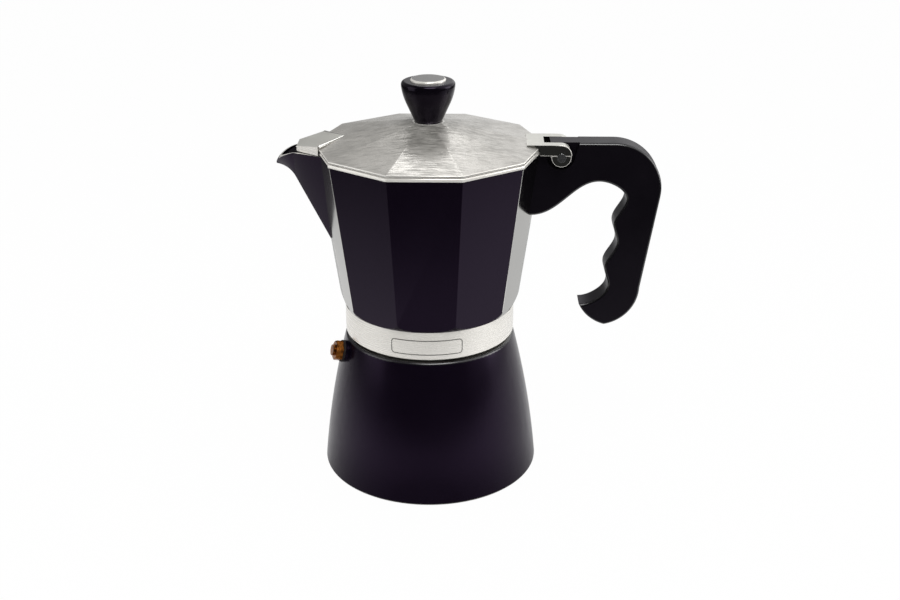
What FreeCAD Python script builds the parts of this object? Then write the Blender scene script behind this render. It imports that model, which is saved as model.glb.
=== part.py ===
import FreeCAD, Part

import math
import os

from FreeCAD import Placement, Rotation, Vector

# A stove-top moka pot. Lengths are in millimetres and angles in degrees.
# The origin is the centre of the base, +Z is up, +X points to the handle and -X to the spout.

# Boiler
BASE_RADIUS = 50.0
BOILER_HEIGHT = 65.5
WALL_BULGE = 1.4            # swell of the wall beyond a straight cone, at mid height
BOILER_WALL = 3.0
BOILER_FLOOR = 3.5
BASE_EDGE_RADIUS = 1.2
SHOULDER_EDGE_RADIUS = 1.5

# Threaded neck and the ring that screws on to it
NECK_RADIUS = 33.6          # at the root of the thread
NECK_WALL = 3.0
NECK_HEIGHT = 10.5
THREAD_PITCH = 3.0
THREAD_DEPTH = 1.1
THREAD_CLEARANCE = 0.4
THREAD_LENGTH = 6.0
THREAD_ROOT_SHARE = 0.55    # width of the ridge at its root, as a share of the pitch
THREAD_CREST_SHARE = 0.22   # and at its crest
RING_WALL = 3.4
RING_GAP = 1.4              # between the boiler's shoulder and the ring
RING_HEIGHT = 13.1
RING_EDGE = 0.4

# Seal stack between the two halves
FUNNEL_RIM = 1.0
GASKET_THICKNESS = 3.0
GASKET_WIDTH = 6.6
PLATE_THICKNESS = 0.8
PLATE_BEARING = 2.2         # width of the plate's edge that the gasket carries
SEAL_CLEARANCE = 0.3
BREW_GAP = 1.6              # space above the plate where coffee gathers
FILTER_HOLE_RADIUS = 0.3
FILTER_HOLE_PITCH = 3.0
FILTER_MARGIN = 3.0
RING_HOLE_COUNT = 6         # holes that each ring has more than the one inside it

# Funnel
BASKET_DEPTH = 21.0
FUNNEL_WALL = 0.9
FUNNEL_CLEARANCE = 0.4
DISC_CLEARANCE = 0.1
FUNNEL_LEDGE = 1.0
FUNNEL_CONE_HEIGHT = 9.0
STEM_RADIUS = 4.6
STEM_FLOOR_GAP = 5.0

# Collector body
FACETS = 10
BODY_STEP = 1.8             # corner radius beyond the ring, at the ring's top
BODY_FLARE = 10.0           # growth of the corner radius from the ring to the rim
BODY_HEIGHT = 72.8
BODY_WALL = 2.2
BODY_FLOOR = 2.6
ROUNDING_HEIGHT = 6.5       # of the turned rounding under the body's corners
RIM_BAND_HEIGHT = 1.5
RIM_BAND_PROUD = 0.3

# Spout
SPOUT_REACH = 16.6          # tip beyond the rim's corner
SPOUT_TIP_DROP = 8.6        # tip below the rim
SPOUT_TIP_HEIGHT = 1.0
SPOUT_TIP_WIDTH = 1.2
SPOUT_DEPTH = 44.0          # foot of the keel below the rim
KEEL_BEND_REACH = 8.8
KEEL_BEND_DROP = 14.2
KEEL_SAG = 1.1              # hollow of the keel's bend
SPOUT_ROOT_SHARE = 0.3      # how far the wedge runs on inside the body, as a share of its length
SPOUT_HALF_WIDTH = 13.0     # where the rim of the spout meets the body
SPOUT_LIP_HALF_WIDTH = 6.8  # where the rim starts to curve down to the tip
SPOUT_LIP_REACH = 8.2
SPOUT_LIP_SWELL = 1.6       # roundness of the lip, seen from above
SPOUT_LIP_CREST = 0.8       # roundness of the lip, seen from the side
SPOUT_RIM_DROP = 1.9
SPOUT_INSET = 2.4           # shift of the channel behind the outer walls

# Coffee column
COLUMN_HEIGHT = 44.0
COLUMN_FOOT_RADIUS = 6.2
COLUMN_TOP_RADIUS = 5.0
COLUMN_BORE = 3.4
COLUMN_FLANGE = 1.8
COLUMN_CAP = 2.0
COLUMN_SLOT_WIDTH = 4.0
COLUMN_SLOT_HEIGHT = 6.0
COLUMN_SLOT_DROP = 1.0      # top of the slots below the end of the bore

# Hinge
HINGE_REACH = 7.2           # pin beyond the rim's corner
HINGE_DROP = 2.8            # pin below the rim
PIN_RADIUS = 1.6
PIN_CLEARANCE = 0.05
PIN_HEAD_RADIUS = 2.0
PIN_HEAD_HEIGHT = 0.5
TONGUE_WIDTH = 8.6
TONGUE_CLEARANCE = 0.4
TONGUE_REACH = 4.6          # from the pin to the tongue's blunt end
EAR_THICKNESS = 4.7
EAR_RELIEF = 0.4            # the round knuckle lies this far behind the ear's face
KNUCKLE_RADIUS = 4.35
EAR_TOP = 5.5               # above the pin
EAR_BOTTOM = 0.7            # above the pin
EAR_NOSE = 4.5              # from the pin to the ear's rounded end
POCKET_RADIUS = 6.2
POCKET_MOUTH = 8.0

# Lid
LID_GAP = 0.2
LID_EDGE = 0.9
LID_PROUD = 0.2             # lid corner beyond the body's corner
LID_RISE = 9.6
LID_TOP_RADIUS = 6.8
LID_WALL = 1.6
LID_CLEARANCE = 0.5
COVER_REACH = 6.6           # tip of the spout cover beyond the lid's corner
COVER_ROOT = 13.9           # inner end of the cover inside the lid's corner
COVER_SHOULDER = 3.5        # widest place of the cover inside the lid's corner
COVER_HALF_WIDTH = 12.8
COVER_TIP_HALF_WIDTH = 5.3
COVER_TIP_HEIGHT = 2.2
COVER_WALL = 1.5
COVER_GAP = 0.4             # between the spout's rim and its cover
HINGE_TAB_ROOT = 8.0        # inner end of the hinge tab inside the lid's corner
HINGE_WEB = 7.4             # from the pin to the end of the slot between the ears

# Knob
KNOB_HEIGHT = 17.8
KNOB_FOOT_RADIUS = 5.9
KNOB_RADIUS = 11.7
KNOB_CHEEK = 7.6            # height where the straight flank turns into the crown
KNOB_CHEEK_RADIUS = 9.35
KNOB_CROWN = 15.6           # height of the widest place
KNOB_SWELL = 0.36           # roundness of the flank below it
KNOB_EDGE_RADIUS = 1.5
INSERT_RADIUS = 7.7
INSERT_THICKNESS = 1.8
INSERT_RECESS = 0.8
INSERT_CLEARANCE = 0.1
INSERT_BEVEL = 0.5
SCREW_RADIUS = 1.9
SCREW_HEAD_RADIUS = 3.4
SCREW_HEAD_HEIGHT = 2.2
SCREW_CLEARANCE = 0.15
KNOB_SCREW_LENGTH = 10.0
WASHER_RADIUS = 5.0
WASHER_THICKNESS = 0.8

# Handle, measured from the hinge pin
HANDLE_THICKNESS = 12.0
HANDLE_EDGE_RADIUS = 1.2
HANDLE_REACH = 44.4         # outermost place of the grip
HANDLE_LEAN = 8.8           # of the grip's back, off the upright
HANDLE_BEND_RADIUS = 21.2   # where the flat top turns down into the grip
HANDLE_HEEL_DROP = 62.0     # where the back turns in to the hook
HANDLE_HEEL_SWELL = 4.2
HANDLE_FOOT_DROP = 80.1     # lowest place of the hook
HANDLE_FOOT_REACH = 22.2
HOOK_NOSE_REACH = 10.4
HOOK_NOSE_DROP = 70.0
HOOK_SWELL = 1.8            # roundness under the hook
HOOK_FLOOR_REACH = 17.0     # where the little finger rests
HOOK_FLOOR_DROP = 68.1
GRIP_THIN = 14.6            # grip at a finger groove
GRIP_THICK = 17.8           # grip at a ridge between fingers
RIDGE_RISE = 0.43           # ridge above the groove below it, as a share of the pitch
GROOVE_PITCH = 20.4
GROOVE_COUNT = 3
TOP_GROOVE_DROP = 20.0
ARCH_REACH = 18.0
ARCH_DROP = 12.0
THROAT_REACH = 5.0          # underside between the arch and the root
THROAT_DROP = 18.0
ROOT_REACH = -4.5           # underside where it flattens towards the body
ROOT_DROP = 25.4
ROOT_END_DROP = 27.4        # underside of the root, where it meets the body
LUG_WIDTH = 6.0
LUG_REACH = 4.2             # beyond the rim's corner
LUG_TOP_DROP = 6.5
LUG_HEIGHT = 11.5
LUG_CLEARANCE = 0.15
HANDLE_SCREW_TILT = 50.0
HANDLE_SCREW_LENGTH = 9.0
HANDLE_SCREW_SEAT = 6.3     # from the middle of the lug's end to the screw head's seat

# Safety valve, along its own axis from the outside of the boiler's wall
VALVE_AZIMUTH = 198.0
VALVE_CLEARANCE = 4.05      # between the hexagon's flats and the ring above
VALVE_BOSS_RADIUS = 5.0
VALVE_BOSS = 1.2
VALVE_WASHER = 0.8
VALVE_HEX = 8.5             # across flats
VALVE_HEX_LENGTH = 3.2
VALVE_HEX_FACE = 4.0        # radius of the round face that the chamfer leaves
VALVE_CHAMFER_ANGLE = 30.0
VALVE_SHANK_RADIUS = 3.5
VALVE_INSIDE = 2.0          # shank beyond the inside of the wall
VALVE_BORE = 2.3
VALVE_SEAT = 1.4
VALVE_INLET = 1.2
VALVE_CAP_RADIUS = 2.5
VALVE_CAP_LENGTH = 1.2
VALVE_PLUG = 1.4
POPPET_RADIUS = 1.9
POPPET_FLANGE = 0.8
POPPET_STEM = 0.8
POPPET_SEAL = 0.5
POPPET_CLEARANCE = 0.1
SPRING_WIRE = 0.4
SPRING_TURN_COUNT = 5
SPRING_CLEARANCE = 0.02     # at each end of the spring

# Places that follow from the sizes above
NECK_BORE = NECK_RADIUS - NECK_WALL
NECK_TOP = BOILER_HEIGHT + NECK_HEIGHT
THREAD_CREST = NECK_RADIUS + THREAD_DEPTH
RING_BORE = THREAD_CREST + THREAD_CLEARANCE
RING_RADIUS = RING_BORE + RING_WALL
RING_BOTTOM = BOILER_HEIGHT + RING_GAP
RING_TOP = RING_BOTTOM + RING_HEIGHT
SHOULDER_RADIUS = RING_RADIUS
VALVE_HEIGHT = RING_BOTTOM - VALVE_CLEARANCE - VALVE_HEX / 2
GASKET_BOTTOM = NECK_TOP + FUNNEL_RIM
GASKET_TOP = GASKET_BOTTOM + GASKET_THICKNESS
GASKET_RADIUS = NECK_RADIUS - SEAL_CLEARANCE
GASKET_BORE = GASKET_RADIUS - GASKET_WIDTH
PLATE_RADIUS = GASKET_BORE + PLATE_BEARING
PLATE_TOP = GASKET_TOP + PLATE_THICKNESS
BREW_TOP = PLATE_TOP + SEAL_CLEARANCE + BREW_GAP
CHAMBER_FLOOR = BREW_TOP + BODY_FLOOR
RIM = RING_TOP + BODY_HEIGHT
BASE_CORNER = RING_RADIUS + BODY_STEP
RIM_CORNER = BASE_CORNER + BODY_FLARE
BAND_CORNER = RIM_CORNER + RIM_BAND_PROUD
SPOUT_RIM = RIM - SPOUT_RIM_DROP
PIN_X = RIM_CORNER + HINGE_REACH
PIN_Z = RIM - HINGE_DROP
LID_BOTTOM = RIM + LID_GAP
LID_CORNER = RIM_CORNER + LID_PROUD
LID_EDGE_TOP = LID_BOTTOM + LID_EDGE
LID_TOP = LID_EDGE_TOP + LID_RISE
LID_SLOPE = LID_RISE / (LID_CORNER - LID_TOP_RADIUS)
EAR_INNER = TONGUE_WIDTH / 2 + TONGUE_CLEARANCE
EAR_OUTER = EAR_INNER + EAR_THICKNESS
HALF_FACET = math.pi / FACETS
HEX_SIDES = 6
QUARTER_COUNT = 4           # quarters in a turn
UP = Vector(0, 0, 1)
ACROSS = Vector(0, 1, 0)
TOUCH = 1e-6


def xz(x, z):
    return Vector(x, 0, z)


def outline(start, *steps):
    """Closed wire from a start point through lines (a point) and arcs (a pair: via, end)."""
    edges = []
    here = start
    for step in steps:
        if isinstance(step, tuple):
            edges.append(Part.Arc(here, step[0], step[1]).toShape())
            here = step[1]
        else:
            edges.append(Part.LineSegment(here, step).toShape())
            here = step
    if (here - start).Length > TOUCH:
        edges.append(Part.LineSegment(here, start).toShape())
    return Part.Wire(edges)


def bulged(start, end, swell):
    """Middle point of an arc between two points, standing off its chord to the left of its way."""
    chord = end - start
    return (start + end) * 0.5 + xz(-chord.z, chord.x) * (swell / chord.Length)


def turned(wire):
    return Part.Face(wire).revolve(Vector(), UP, 360)


def slab(wire, y_low, y_high):
    """Solid from an outline in the XZ plane, between two Y planes."""
    solid = Part.Face(wire).extrude(Vector(0, y_high - y_low, 0))
    solid.translate(Vector(0, y_low, 0))
    return solid


def box(x, y, z):
    """Box from three pairs of low and high."""
    corner = Vector(x[0], y[0], z[0])
    return Part.makeBox(x[1] - x[0], y[1] - y[0], z[1] - z[0], corner)


def facet_ring(radius, z):
    """Regular polygon with corners on the X axis."""
    points = []
    for k in range(FACETS + 1):
        angle = 2 * k * HALF_FACET
        points.append(Vector(radius * math.cos(angle), radius * math.sin(angle), z))
    return Part.makePolygon(points)


def frustum(radius_low, z_low, radius_high, z_high):
    return Part.makeLoft([facet_ring(radius_low, z_low), facet_ring(radius_high, z_high)], True, True)


def circle_edges(shape, radius, z):
    """The round edges of a turned shape at one radius and height."""
    found = []
    for edge in shape.Edges:
        if not isinstance(edge.Curve, Part.Circle):
            continue
        if abs(edge.Curve.Radius - radius) < TOUCH and abs(edge.Curve.Center.z - z) < TOUCH:
            found.append(edge)
    return found


def mirrored(shape):
    return shape.mirror(Vector(), ACROSS)


def thread_ridge(root_radius, crest_radius, z_low):
    """One helical ridge. Its root is sunk a little so that it joins its wall."""
    sink = math.copysign(THREAD_CLEARANCE / 2, root_radius - crest_radius)
    half_root = THREAD_ROOT_SHARE * THREAD_PITCH / 2
    half_crest = THREAD_CREST_SHARE * THREAD_PITCH / 2
    helix = Part.makeHelix(THREAD_PITCH, THREAD_LENGTH, root_radius + sink)
    profile = Part.makePolygon([
        xz(root_radius + sink, -half_root),
        xz(crest_radius, -half_crest),
        xz(crest_radius, half_crest),
        xz(root_radius + sink, half_root),
        xz(root_radius + sink, -half_root),
    ])
    ridge = Part.Wire(helix).makePipeShell([profile], True, True)
    ridge.translate(Vector(0, 0, z_low))
    return ridge


def neck_thread_low():
    """Where the neck's ridge starts, to end half a pitch below the neck's top."""
    return NECK_TOP - THREAD_PITCH / 2 - THREAD_LENGTH


def boiler_wall_circle():
    """Large circle that the boiler's wall follows, in the XZ plane."""
    middle = xz((BASE_RADIUS + SHOULDER_RADIUS) / 2 + WALL_BULGE, BOILER_HEIGHT / 2)
    return Part.Circle(xz(BASE_RADIUS, 0), middle, xz(SHOULDER_RADIUS, BOILER_HEIGHT))


def wall_radius(z):
    circle = boiler_wall_circle()
    return circle.Center.x + math.sqrt(circle.Radius ** 2 - (z - circle.Center.z) ** 2)


def valve_placement():
    """Puts the local X axis on the valve's axis, square to the boiler's wall."""
    circle = boiler_wall_circle()
    tilt = math.degrees(math.asin((VALVE_HEIGHT - circle.Center.z) / circle.Radius))
    turn = Rotation(UP, VALVE_AZIMUTH).multiply(Rotation(ACROSS, -tilt))
    out = Rotation(UP, VALVE_AZIMUTH).multVec(Vector(wall_radius(VALVE_HEIGHT), 0, 0))
    return Placement(out + Vector(0, 0, VALVE_HEIGHT), turn)


def on_valve(shape):
    placed = shape.copy()
    placed.Placement = valve_placement().multiply(placed.Placement)
    return placed


def rod(radius, low, high):
    """Round bar along the valve's local axis."""
    return Part.makeCylinder(radius, high - low, Vector(low, 0, 0), Vector(1, 0, 0))


def boiler():
    inner_top = BOILER_HEIGHT - BOILER_WALL
    middle = BOILER_HEIGHT / 2
    wall = turned(outline(
        xz(0, 0),
        xz(BASE_RADIUS, 0),
        (xz(wall_radius(middle), middle), xz(SHOULDER_RADIUS, BOILER_HEIGHT)),
        xz(NECK_RADIUS, BOILER_HEIGHT),
        xz(NECK_RADIUS, NECK_TOP),
        xz(NECK_BORE, NECK_TOP),
        xz(NECK_BORE, inner_top),
        xz(wall_radius(inner_top) - BOILER_WALL, inner_top),
        (xz(wall_radius(middle) - BOILER_WALL, middle),
         xz(wall_radius(BOILER_FLOOR) - BOILER_WALL, BOILER_FLOOR)),
        xz(0, BOILER_FLOOR),
    ))
    wall = wall.makeFillet(BASE_EDGE_RADIUS, circle_edges(wall, BASE_RADIUS, 0))
    wall = wall.makeFillet(SHOULDER_EDGE_RADIUS, circle_edges(wall, SHOULDER_RADIUS, BOILER_HEIGHT))
    boss = on_valve(rod(VALVE_BOSS_RADIUS, -BOILER_WALL / 2, VALVE_BOSS))
    hole = on_valve(rod(VALVE_SHANK_RADIUS, -BOILER_WALL - VALVE_INSIDE, VALVE_BOSS))
    ridge = thread_ridge(NECK_RADIUS, THREAD_CREST, neck_thread_low())
    return wall.fuse(boss).cut(hole).fuse(ridge)


def valve_body():
    inside = -BOILER_WALL - VALVE_INSIDE
    hex_low = VALVE_BOSS + VALVE_WASHER
    hex_high = hex_low + VALVE_HEX_LENGTH
    corner = VALVE_HEX / 2 / math.cos(math.pi / HEX_SIDES)
    points = []
    for k in range(HEX_SIDES + 1):
        angle = 2 * math.pi * k / HEX_SIDES
        points.append(Vector(hex_low, corner * math.sin(angle), corner * math.cos(angle)))
    nut = Part.Face(Part.makePolygon(points)).extrude(Vector(VALVE_HEX_LENGTH, 0, 0))
    spread = VALVE_HEX_FACE + VALVE_HEX_LENGTH / math.tan(math.radians(VALVE_CHAMFER_ANGLE))
    along = Vector(1, 0, 0)
    nut = nut.common(Part.makeCone(spread, VALVE_HEX_FACE, VALVE_HEX_LENGTH, along * hex_low, along))
    body = nut.fuse(rod(VALVE_SHANK_RADIUS, inside, hex_low))
    body = body.cut(rod(VALVE_INLET, inside, hex_high))
    return on_valve(body.cut(rod(VALVE_BORE, inside + VALVE_SEAT, hex_high)))


def valve_washer():
    ring = rod(VALVE_BOSS_RADIUS, VALVE_BOSS, VALVE_BOSS + VALVE_WASHER)
    return on_valve(ring.cut(rod(VALVE_SHANK_RADIUS, VALVE_BOSS, VALVE_BOSS + VALVE_WASHER)))


def valve_cap():
    seat = VALVE_BOSS + VALVE_WASHER + VALVE_HEX_LENGTH
    cap = rod(VALVE_CAP_RADIUS, seat, seat + VALVE_CAP_LENGTH)
    cap = cap.fuse(rod(VALVE_BORE, seat - VALVE_PLUG, seat))
    hole = rod(POPPET_STEM + POPPET_CLEARANCE, seat - VALVE_PLUG, seat + VALVE_CAP_LENGTH)
    return on_valve(cap.cut(hole))


def poppet_floor():
    """Local place of the valve's seat, where the seal rests."""
    return -BOILER_WALL - VALVE_INSIDE + VALVE_SEAT


def valve_poppet():
    low = poppet_floor() + POPPET_SEAL
    end = VALVE_BOSS + VALVE_WASHER + VALVE_HEX_LENGTH + VALVE_CAP_LENGTH
    return on_valve(rod(POPPET_RADIUS, low, low + POPPET_FLANGE).fuse(rod(POPPET_STEM, low, end)))


def valve_seal():
    return on_valve(rod(POPPET_RADIUS, poppet_floor(), poppet_floor() + POPPET_SEAL))


def arc_leaving(start, way, end):
    """Arc from a point, setting off along a unit direction, to another point."""
    chord = end - start
    aside = way - chord * (way.dot(chord) / chord.dot(chord))
    aside.normalize()
    rise = chord.Length / 2 * math.tan(way.getAngle(chord) / 2)
    return Part.Arc(start, start + chord * 0.5 + aside * rise, end).toShape()


def biarc(start, way_out, end, way_in):
    """Two arcs from one point to another, with a unit direction at each."""
    chord = end - start
    along = chord.dot(way_out + way_in)
    bend = 2 * (1 - way_out.dot(way_in))
    reach = (math.sqrt(along ** 2 + bend * chord.dot(chord)) - along) / bend
    knee = start + way_out * reach
    joint = (knee + end - way_in * reach) * 0.5
    middle = joint - knee
    middle.normalize()
    return [arc_leaving(start, way_out, joint), arc_leaving(joint, middle, end)]


def coil(radius, pitch, turn_count, wire):
    """Round wire wound about Z, each quarter turn made of two arcs."""
    places = []
    for quarter in range(QUARTER_COUNT * turn_count + 1):
        turned_by = quarter / QUARTER_COUNT
        angle = 2 * math.pi * turned_by
        place = Vector(radius * math.cos(angle), radius * math.sin(angle), pitch * turned_by)
        way = Vector(-place.y, place.x, pitch / (2 * math.pi))
        way.normalize()
        places.append((place, way))
    edges = []
    for here, there in zip(places, places[1:]):
        edges += biarc(*here, *there)
    section = Part.Wire(Part.makeCircle(wire / 2, *places[0]))
    return Part.Wire(edges).makePipeShell([section], True)


def valve_spring():
    """Coil between the poppet's flange and the cap's plug."""
    low = poppet_floor() + POPPET_SEAL + POPPET_FLANGE
    high = VALVE_BOSS + VALVE_WASHER + VALVE_HEX_LENGTH - VALVE_PLUG
    coil_radius = (POPPET_STEM + VALVE_BORE) / 2
    end_gap = SPRING_WIRE / 2 + SPRING_CLEARANCE
    length = high - low - 2 * end_gap
    spring = coil(coil_radius, length / SPRING_TURN_COUNT, SPRING_TURN_COUNT, SPRING_WIRE)
    spring.rotate(Vector(), ACROSS, 90)
    spring.translate(Vector(low + end_gap, 0, 0))
    return on_valve(spring)


def funnel():
    outer = NECK_BORE - FUNNEL_CLEARANCE
    inner = outer - FUNNEL_WALL
    rim_radius = NECK_RADIUS - SEAL_CLEARANCE
    floor = GASKET_BOTTOM - BASKET_DEPTH
    cone_low = floor - FUNNEL_CONE_HEIGHT
    bore = STEM_RADIUS - FUNNEL_WALL
    foot = BOILER_FLOOR + STEM_FLOOR_GAP
    return turned(outline(
        xz(rim_radius, NECK_TOP),
        xz(rim_radius, GASKET_BOTTOM),
        xz(inner, GASKET_BOTTOM),
        xz(inner, floor),
        xz(inner - FUNNEL_LEDGE, floor),
        xz(bore, cone_low),
        xz(bore, foot),
        xz(STEM_RADIUS, foot),
        xz(STEM_RADIUS, cone_low - FUNNEL_WALL),
        xz(outer, floor - FUNNEL_WALL),
        xz(outer, NECK_TOP),
    ))


def perforated_disc(radius, z, thickness):
    """Flat plate with rings of small holes."""
    wires = [Part.Wire(Part.makeCircle(radius, Vector(0, 0, z)))]
    ring_count = int((radius - FILTER_MARGIN - FILTER_HOLE_RADIUS) / FILTER_HOLE_PITCH)
    for ring in range(ring_count + 1):
        in_ring = max(1, RING_HOLE_COUNT * ring)
        for k in range(in_ring):
            angle = 2 * math.pi * k / in_ring
            reach = ring * FILTER_HOLE_PITCH
            centre = Vector(reach * math.cos(angle), reach * math.sin(angle), z)
            wires.append(Part.Wire(Part.makeCircle(FILTER_HOLE_RADIUS, centre)))
    return Part.Face(wires, "Part::FaceMakerBullseye").extrude(Vector(0, 0, thickness))


def funnel_filter():
    radius = NECK_BORE - FUNNEL_CLEARANCE - FUNNEL_WALL - DISC_CLEARANCE
    return perforated_disc(radius, GASKET_BOTTOM - BASKET_DEPTH, PLATE_THICKNESS)


def filter_plate():
    return perforated_disc(PLATE_RADIUS, GASKET_TOP, PLATE_THICKNESS)


def gasket():
    ring = Part.makeCylinder(GASKET_RADIUS, GASKET_THICKNESS, Vector(0, 0, GASKET_BOTTOM))
    return ring.cut(Part.makeCylinder(GASKET_BORE, GASKET_THICKNESS, Vector(0, 0, GASKET_BOTTOM)))


def corner_radius(z):
    """Radius of the body's corners at a height."""
    return BASE_CORNER + BODY_FLARE * (z - RING_TOP) / BODY_HEIGHT


def body_outside():
    """Ten-sided body, its corners rounded off by turning where it meets the ring."""
    body = frustum(BASE_CORNER, RING_TOP, RIM_CORNER, RIM)
    top = RING_TOP + ROUNDING_HEIGHT
    wide = corner_radius(top)
    step = wide - RING_RADIUS
    arc_radius = (ROUNDING_HEIGHT ** 2 + step ** 2) / (2 * step)
    half_turn = math.atan2(step, ROUNDING_HEIGHT)
    via = xz(wide - arc_radius * (1 - math.cos(half_turn)), top - arc_radius * math.sin(half_turn))
    clear = BAND_CORNER + SPOUT_REACH
    trimmer = turned(outline(
        xz(0, RING_TOP),
        xz(RING_RADIUS, RING_TOP),
        (via, xz(wide, top)),
        xz(clear, top),
        xz(clear, RIM),
        xz(0, RIM),
    ))
    ring = Part.makeCylinder(RING_RADIUS, RING_HEIGHT, Vector(0, 0, RING_BOTTOM))
    ring = ring.makeChamfer(RING_EDGE, circle_edges(ring, RING_RADIUS, RING_BOTTOM))
    band = frustum(BAND_CORNER, RIM - RIM_BAND_HEIGHT, BAND_CORNER, RIM)
    return body.common(trimmer).fuse([ring, band])


def spout_faces(inset):
    """Skin of a beaked wedge, moved towards the body by the inset.

    Two side walls rise from a bent keel to the rim and run on to the tip. The roof comes last."""
    root_x = -(RIM_CORNER - SPOUT_HALF_WIDTH * math.tan(HALF_FACET))
    foot = xz(-corner_radius(RIM - SPOUT_DEPTH), RIM - SPOUT_DEPTH)
    bend = xz(-RIM_CORNER - KEEL_BEND_REACH, RIM - KEEL_BEND_DROP)
    root = Vector(root_x, -SPOUT_HALF_WIDTH, SPOUT_RIM)
    shoulder = Vector(-RIM_CORNER - SPOUT_LIP_REACH, -SPOUT_LIP_HALF_WIDTH, SPOUT_RIM)
    tip_low = xz(-RIM_CORNER - SPOUT_REACH, RIM - SPOUT_TIP_DROP)
    tip_high = tip_low + Vector(0, -SPOUT_TIP_WIDTH / 2, SPOUT_TIP_HEIGHT)
    keel_via = bulged(bend, tip_low, -KEEL_SAG)
    rim_via = (shoulder + tip_high) * 0.5 + Vector(-SPOUT_LIP_CREST, -SPOUT_LIP_SWELL, SPOUT_LIP_CREST)
    foot_in = foot + (foot - bend) * SPOUT_ROOT_SHARE
    root_in = root + (root - shoulder) * SPOUT_ROOT_SHARE

    keel = Part.LineSegment(foot_in, bend).toShape()
    keel_beak = Part.Arc(bend, keel_via, tip_low).toShape()
    rim = Part.LineSegment(root_in, shoulder).toShape()
    rim_beak = Part.Arc(shoulder, rim_via, tip_high).toShape()
    faces = []
    for side_rim, side_beak in ((rim, rim_beak), (mirrored(rim), mirrored(rim_beak))):
        faces.append(Part.makeRuledSurface(keel, side_rim))
        faces.append(Part.makeRuledSurface(keel_beak, side_beak))
    for low, high in ((foot_in, root_in), (tip_low, tip_high)):
        faces.append(Part.Face(Part.makePolygon([low, high, Vector(high.x, -high.y, high.z), low])))
    faces.append(Part.makeRuledSurface(rim, mirrored(rim)))
    faces.append(Part.makeRuledSurface(rim_beak, mirrored(rim_beak)))
    for face in faces:
        face.translate(Vector(inset, 0, 0))
    return faces


def spout_wedge(faces):
    shell = Part.makeShell(faces)
    shell.sewShape()
    solid = Part.makeSolid(shell)
    if solid.Volume < 0:
        solid.reverse()
    return solid


def spout_channel():
    """Hollow of the spout, open above its rim."""
    faces = spout_faces(SPOUT_INSET)
    above = [roof.extrude(Vector(0, 0, SPOUT_TIP_DROP)) for roof in faces[-2:]]
    return spout_wedge(faces).fuse(above)


def chamber():
    """Hollow of the body, with its wall parallel to the outside."""
    inward = BODY_WALL / math.cos(HALF_FACET)
    return frustum(corner_radius(CHAMBER_FLOOR) - inward, CHAMBER_FLOOR, RIM_CORNER - inward, RIM)


def underside():
    """Everything open to below: thread bore, gasket seat, plate recess and brew space."""
    gasket_seat = GASKET_RADIUS + SEAL_CLEARANCE
    plate_seat = PLATE_RADIUS + SEAL_CLEARANCE
    brew_radius = PLATE_RADIUS - PLATE_BEARING
    return turned(outline(
        xz(0, RING_BOTTOM),
        xz(RING_BORE, RING_BOTTOM),
        xz(RING_BORE, GASKET_BOTTOM),
        xz(gasket_seat, GASKET_BOTTOM),
        xz(gasket_seat, GASKET_TOP),
        xz(plate_seat, GASKET_TOP),
        xz(plate_seat, PLATE_TOP + SEAL_CLEARANCE),
        xz(brew_radius, PLATE_TOP + SEAL_CLEARANCE),
        xz(brew_radius, BREW_TOP),
        xz(COLUMN_FOOT_RADIUS, BREW_TOP),
        xz(COLUMN_FOOT_RADIUS, CHAMBER_FLOOR),
        xz(0, CHAMBER_FLOOR),
    ))


def lug_box(clearance):
    """Lug at the rim's corner that carries the handle."""
    half = LUG_WIDTH / 2 + clearance
    top = PIN_Z - LUG_TOP_DROP
    return box(
        (corner_radius(top - LUG_HEIGHT) - BODY_WALL, RIM_CORNER + LUG_REACH + clearance),
        (-half, half),
        (top - LUG_HEIGHT - clearance, top + clearance),
    )


def on_handle_screw(radius, low, high):
    """Round bar on the handle screw's axis, measured out from the middle of the lug's end."""
    tilt = math.radians(HANDLE_SCREW_TILT)
    axis = xz(math.cos(tilt), -math.sin(tilt))
    middle = xz(RIM_CORNER + LUG_REACH / 2, PIN_Z - LUG_TOP_DROP - LUG_HEIGHT / 2)
    return Part.makeCylinder(radius, high - low, middle + axis * low, axis)


def handle_screw_end():
    return HANDLE_SCREW_SEAT - HANDLE_SCREW_LENGTH


def collector():
    outside = body_outside().fuse([spout_wedge(spout_faces(0)), lug_box(0)])
    notch = box(
        (-RIM_CORNER - SPOUT_REACH, -RIM_CORNER + COVER_ROOT),
        (-COVER_HALF_WIDTH - LID_CLEARANCE, COVER_HALF_WIDTH + LID_CLEARANCE),
        (SPOUT_RIM, RIM),
    )
    screw_hole = on_handle_screw(SCREW_RADIUS, handle_screw_end(), HANDLE_SCREW_SEAT)
    shell = outside.cut([chamber(), spout_channel(), notch, underside(), screw_hole])
    thread_low = RING_BOTTOM + THREAD_PITCH / 2
    ridge = thread_ridge(RING_BORE, NECK_RADIUS + THREAD_CLEARANCE, thread_low)
    # half a turn past the neck's ridge, so that each ridge lies in the other's groove
    turns = 0.5 + (thread_low - neck_thread_low()) / THREAD_PITCH
    ridge.rotate(Vector(), UP, 360 * turns)
    return shell.fuse(ridge)


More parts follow.
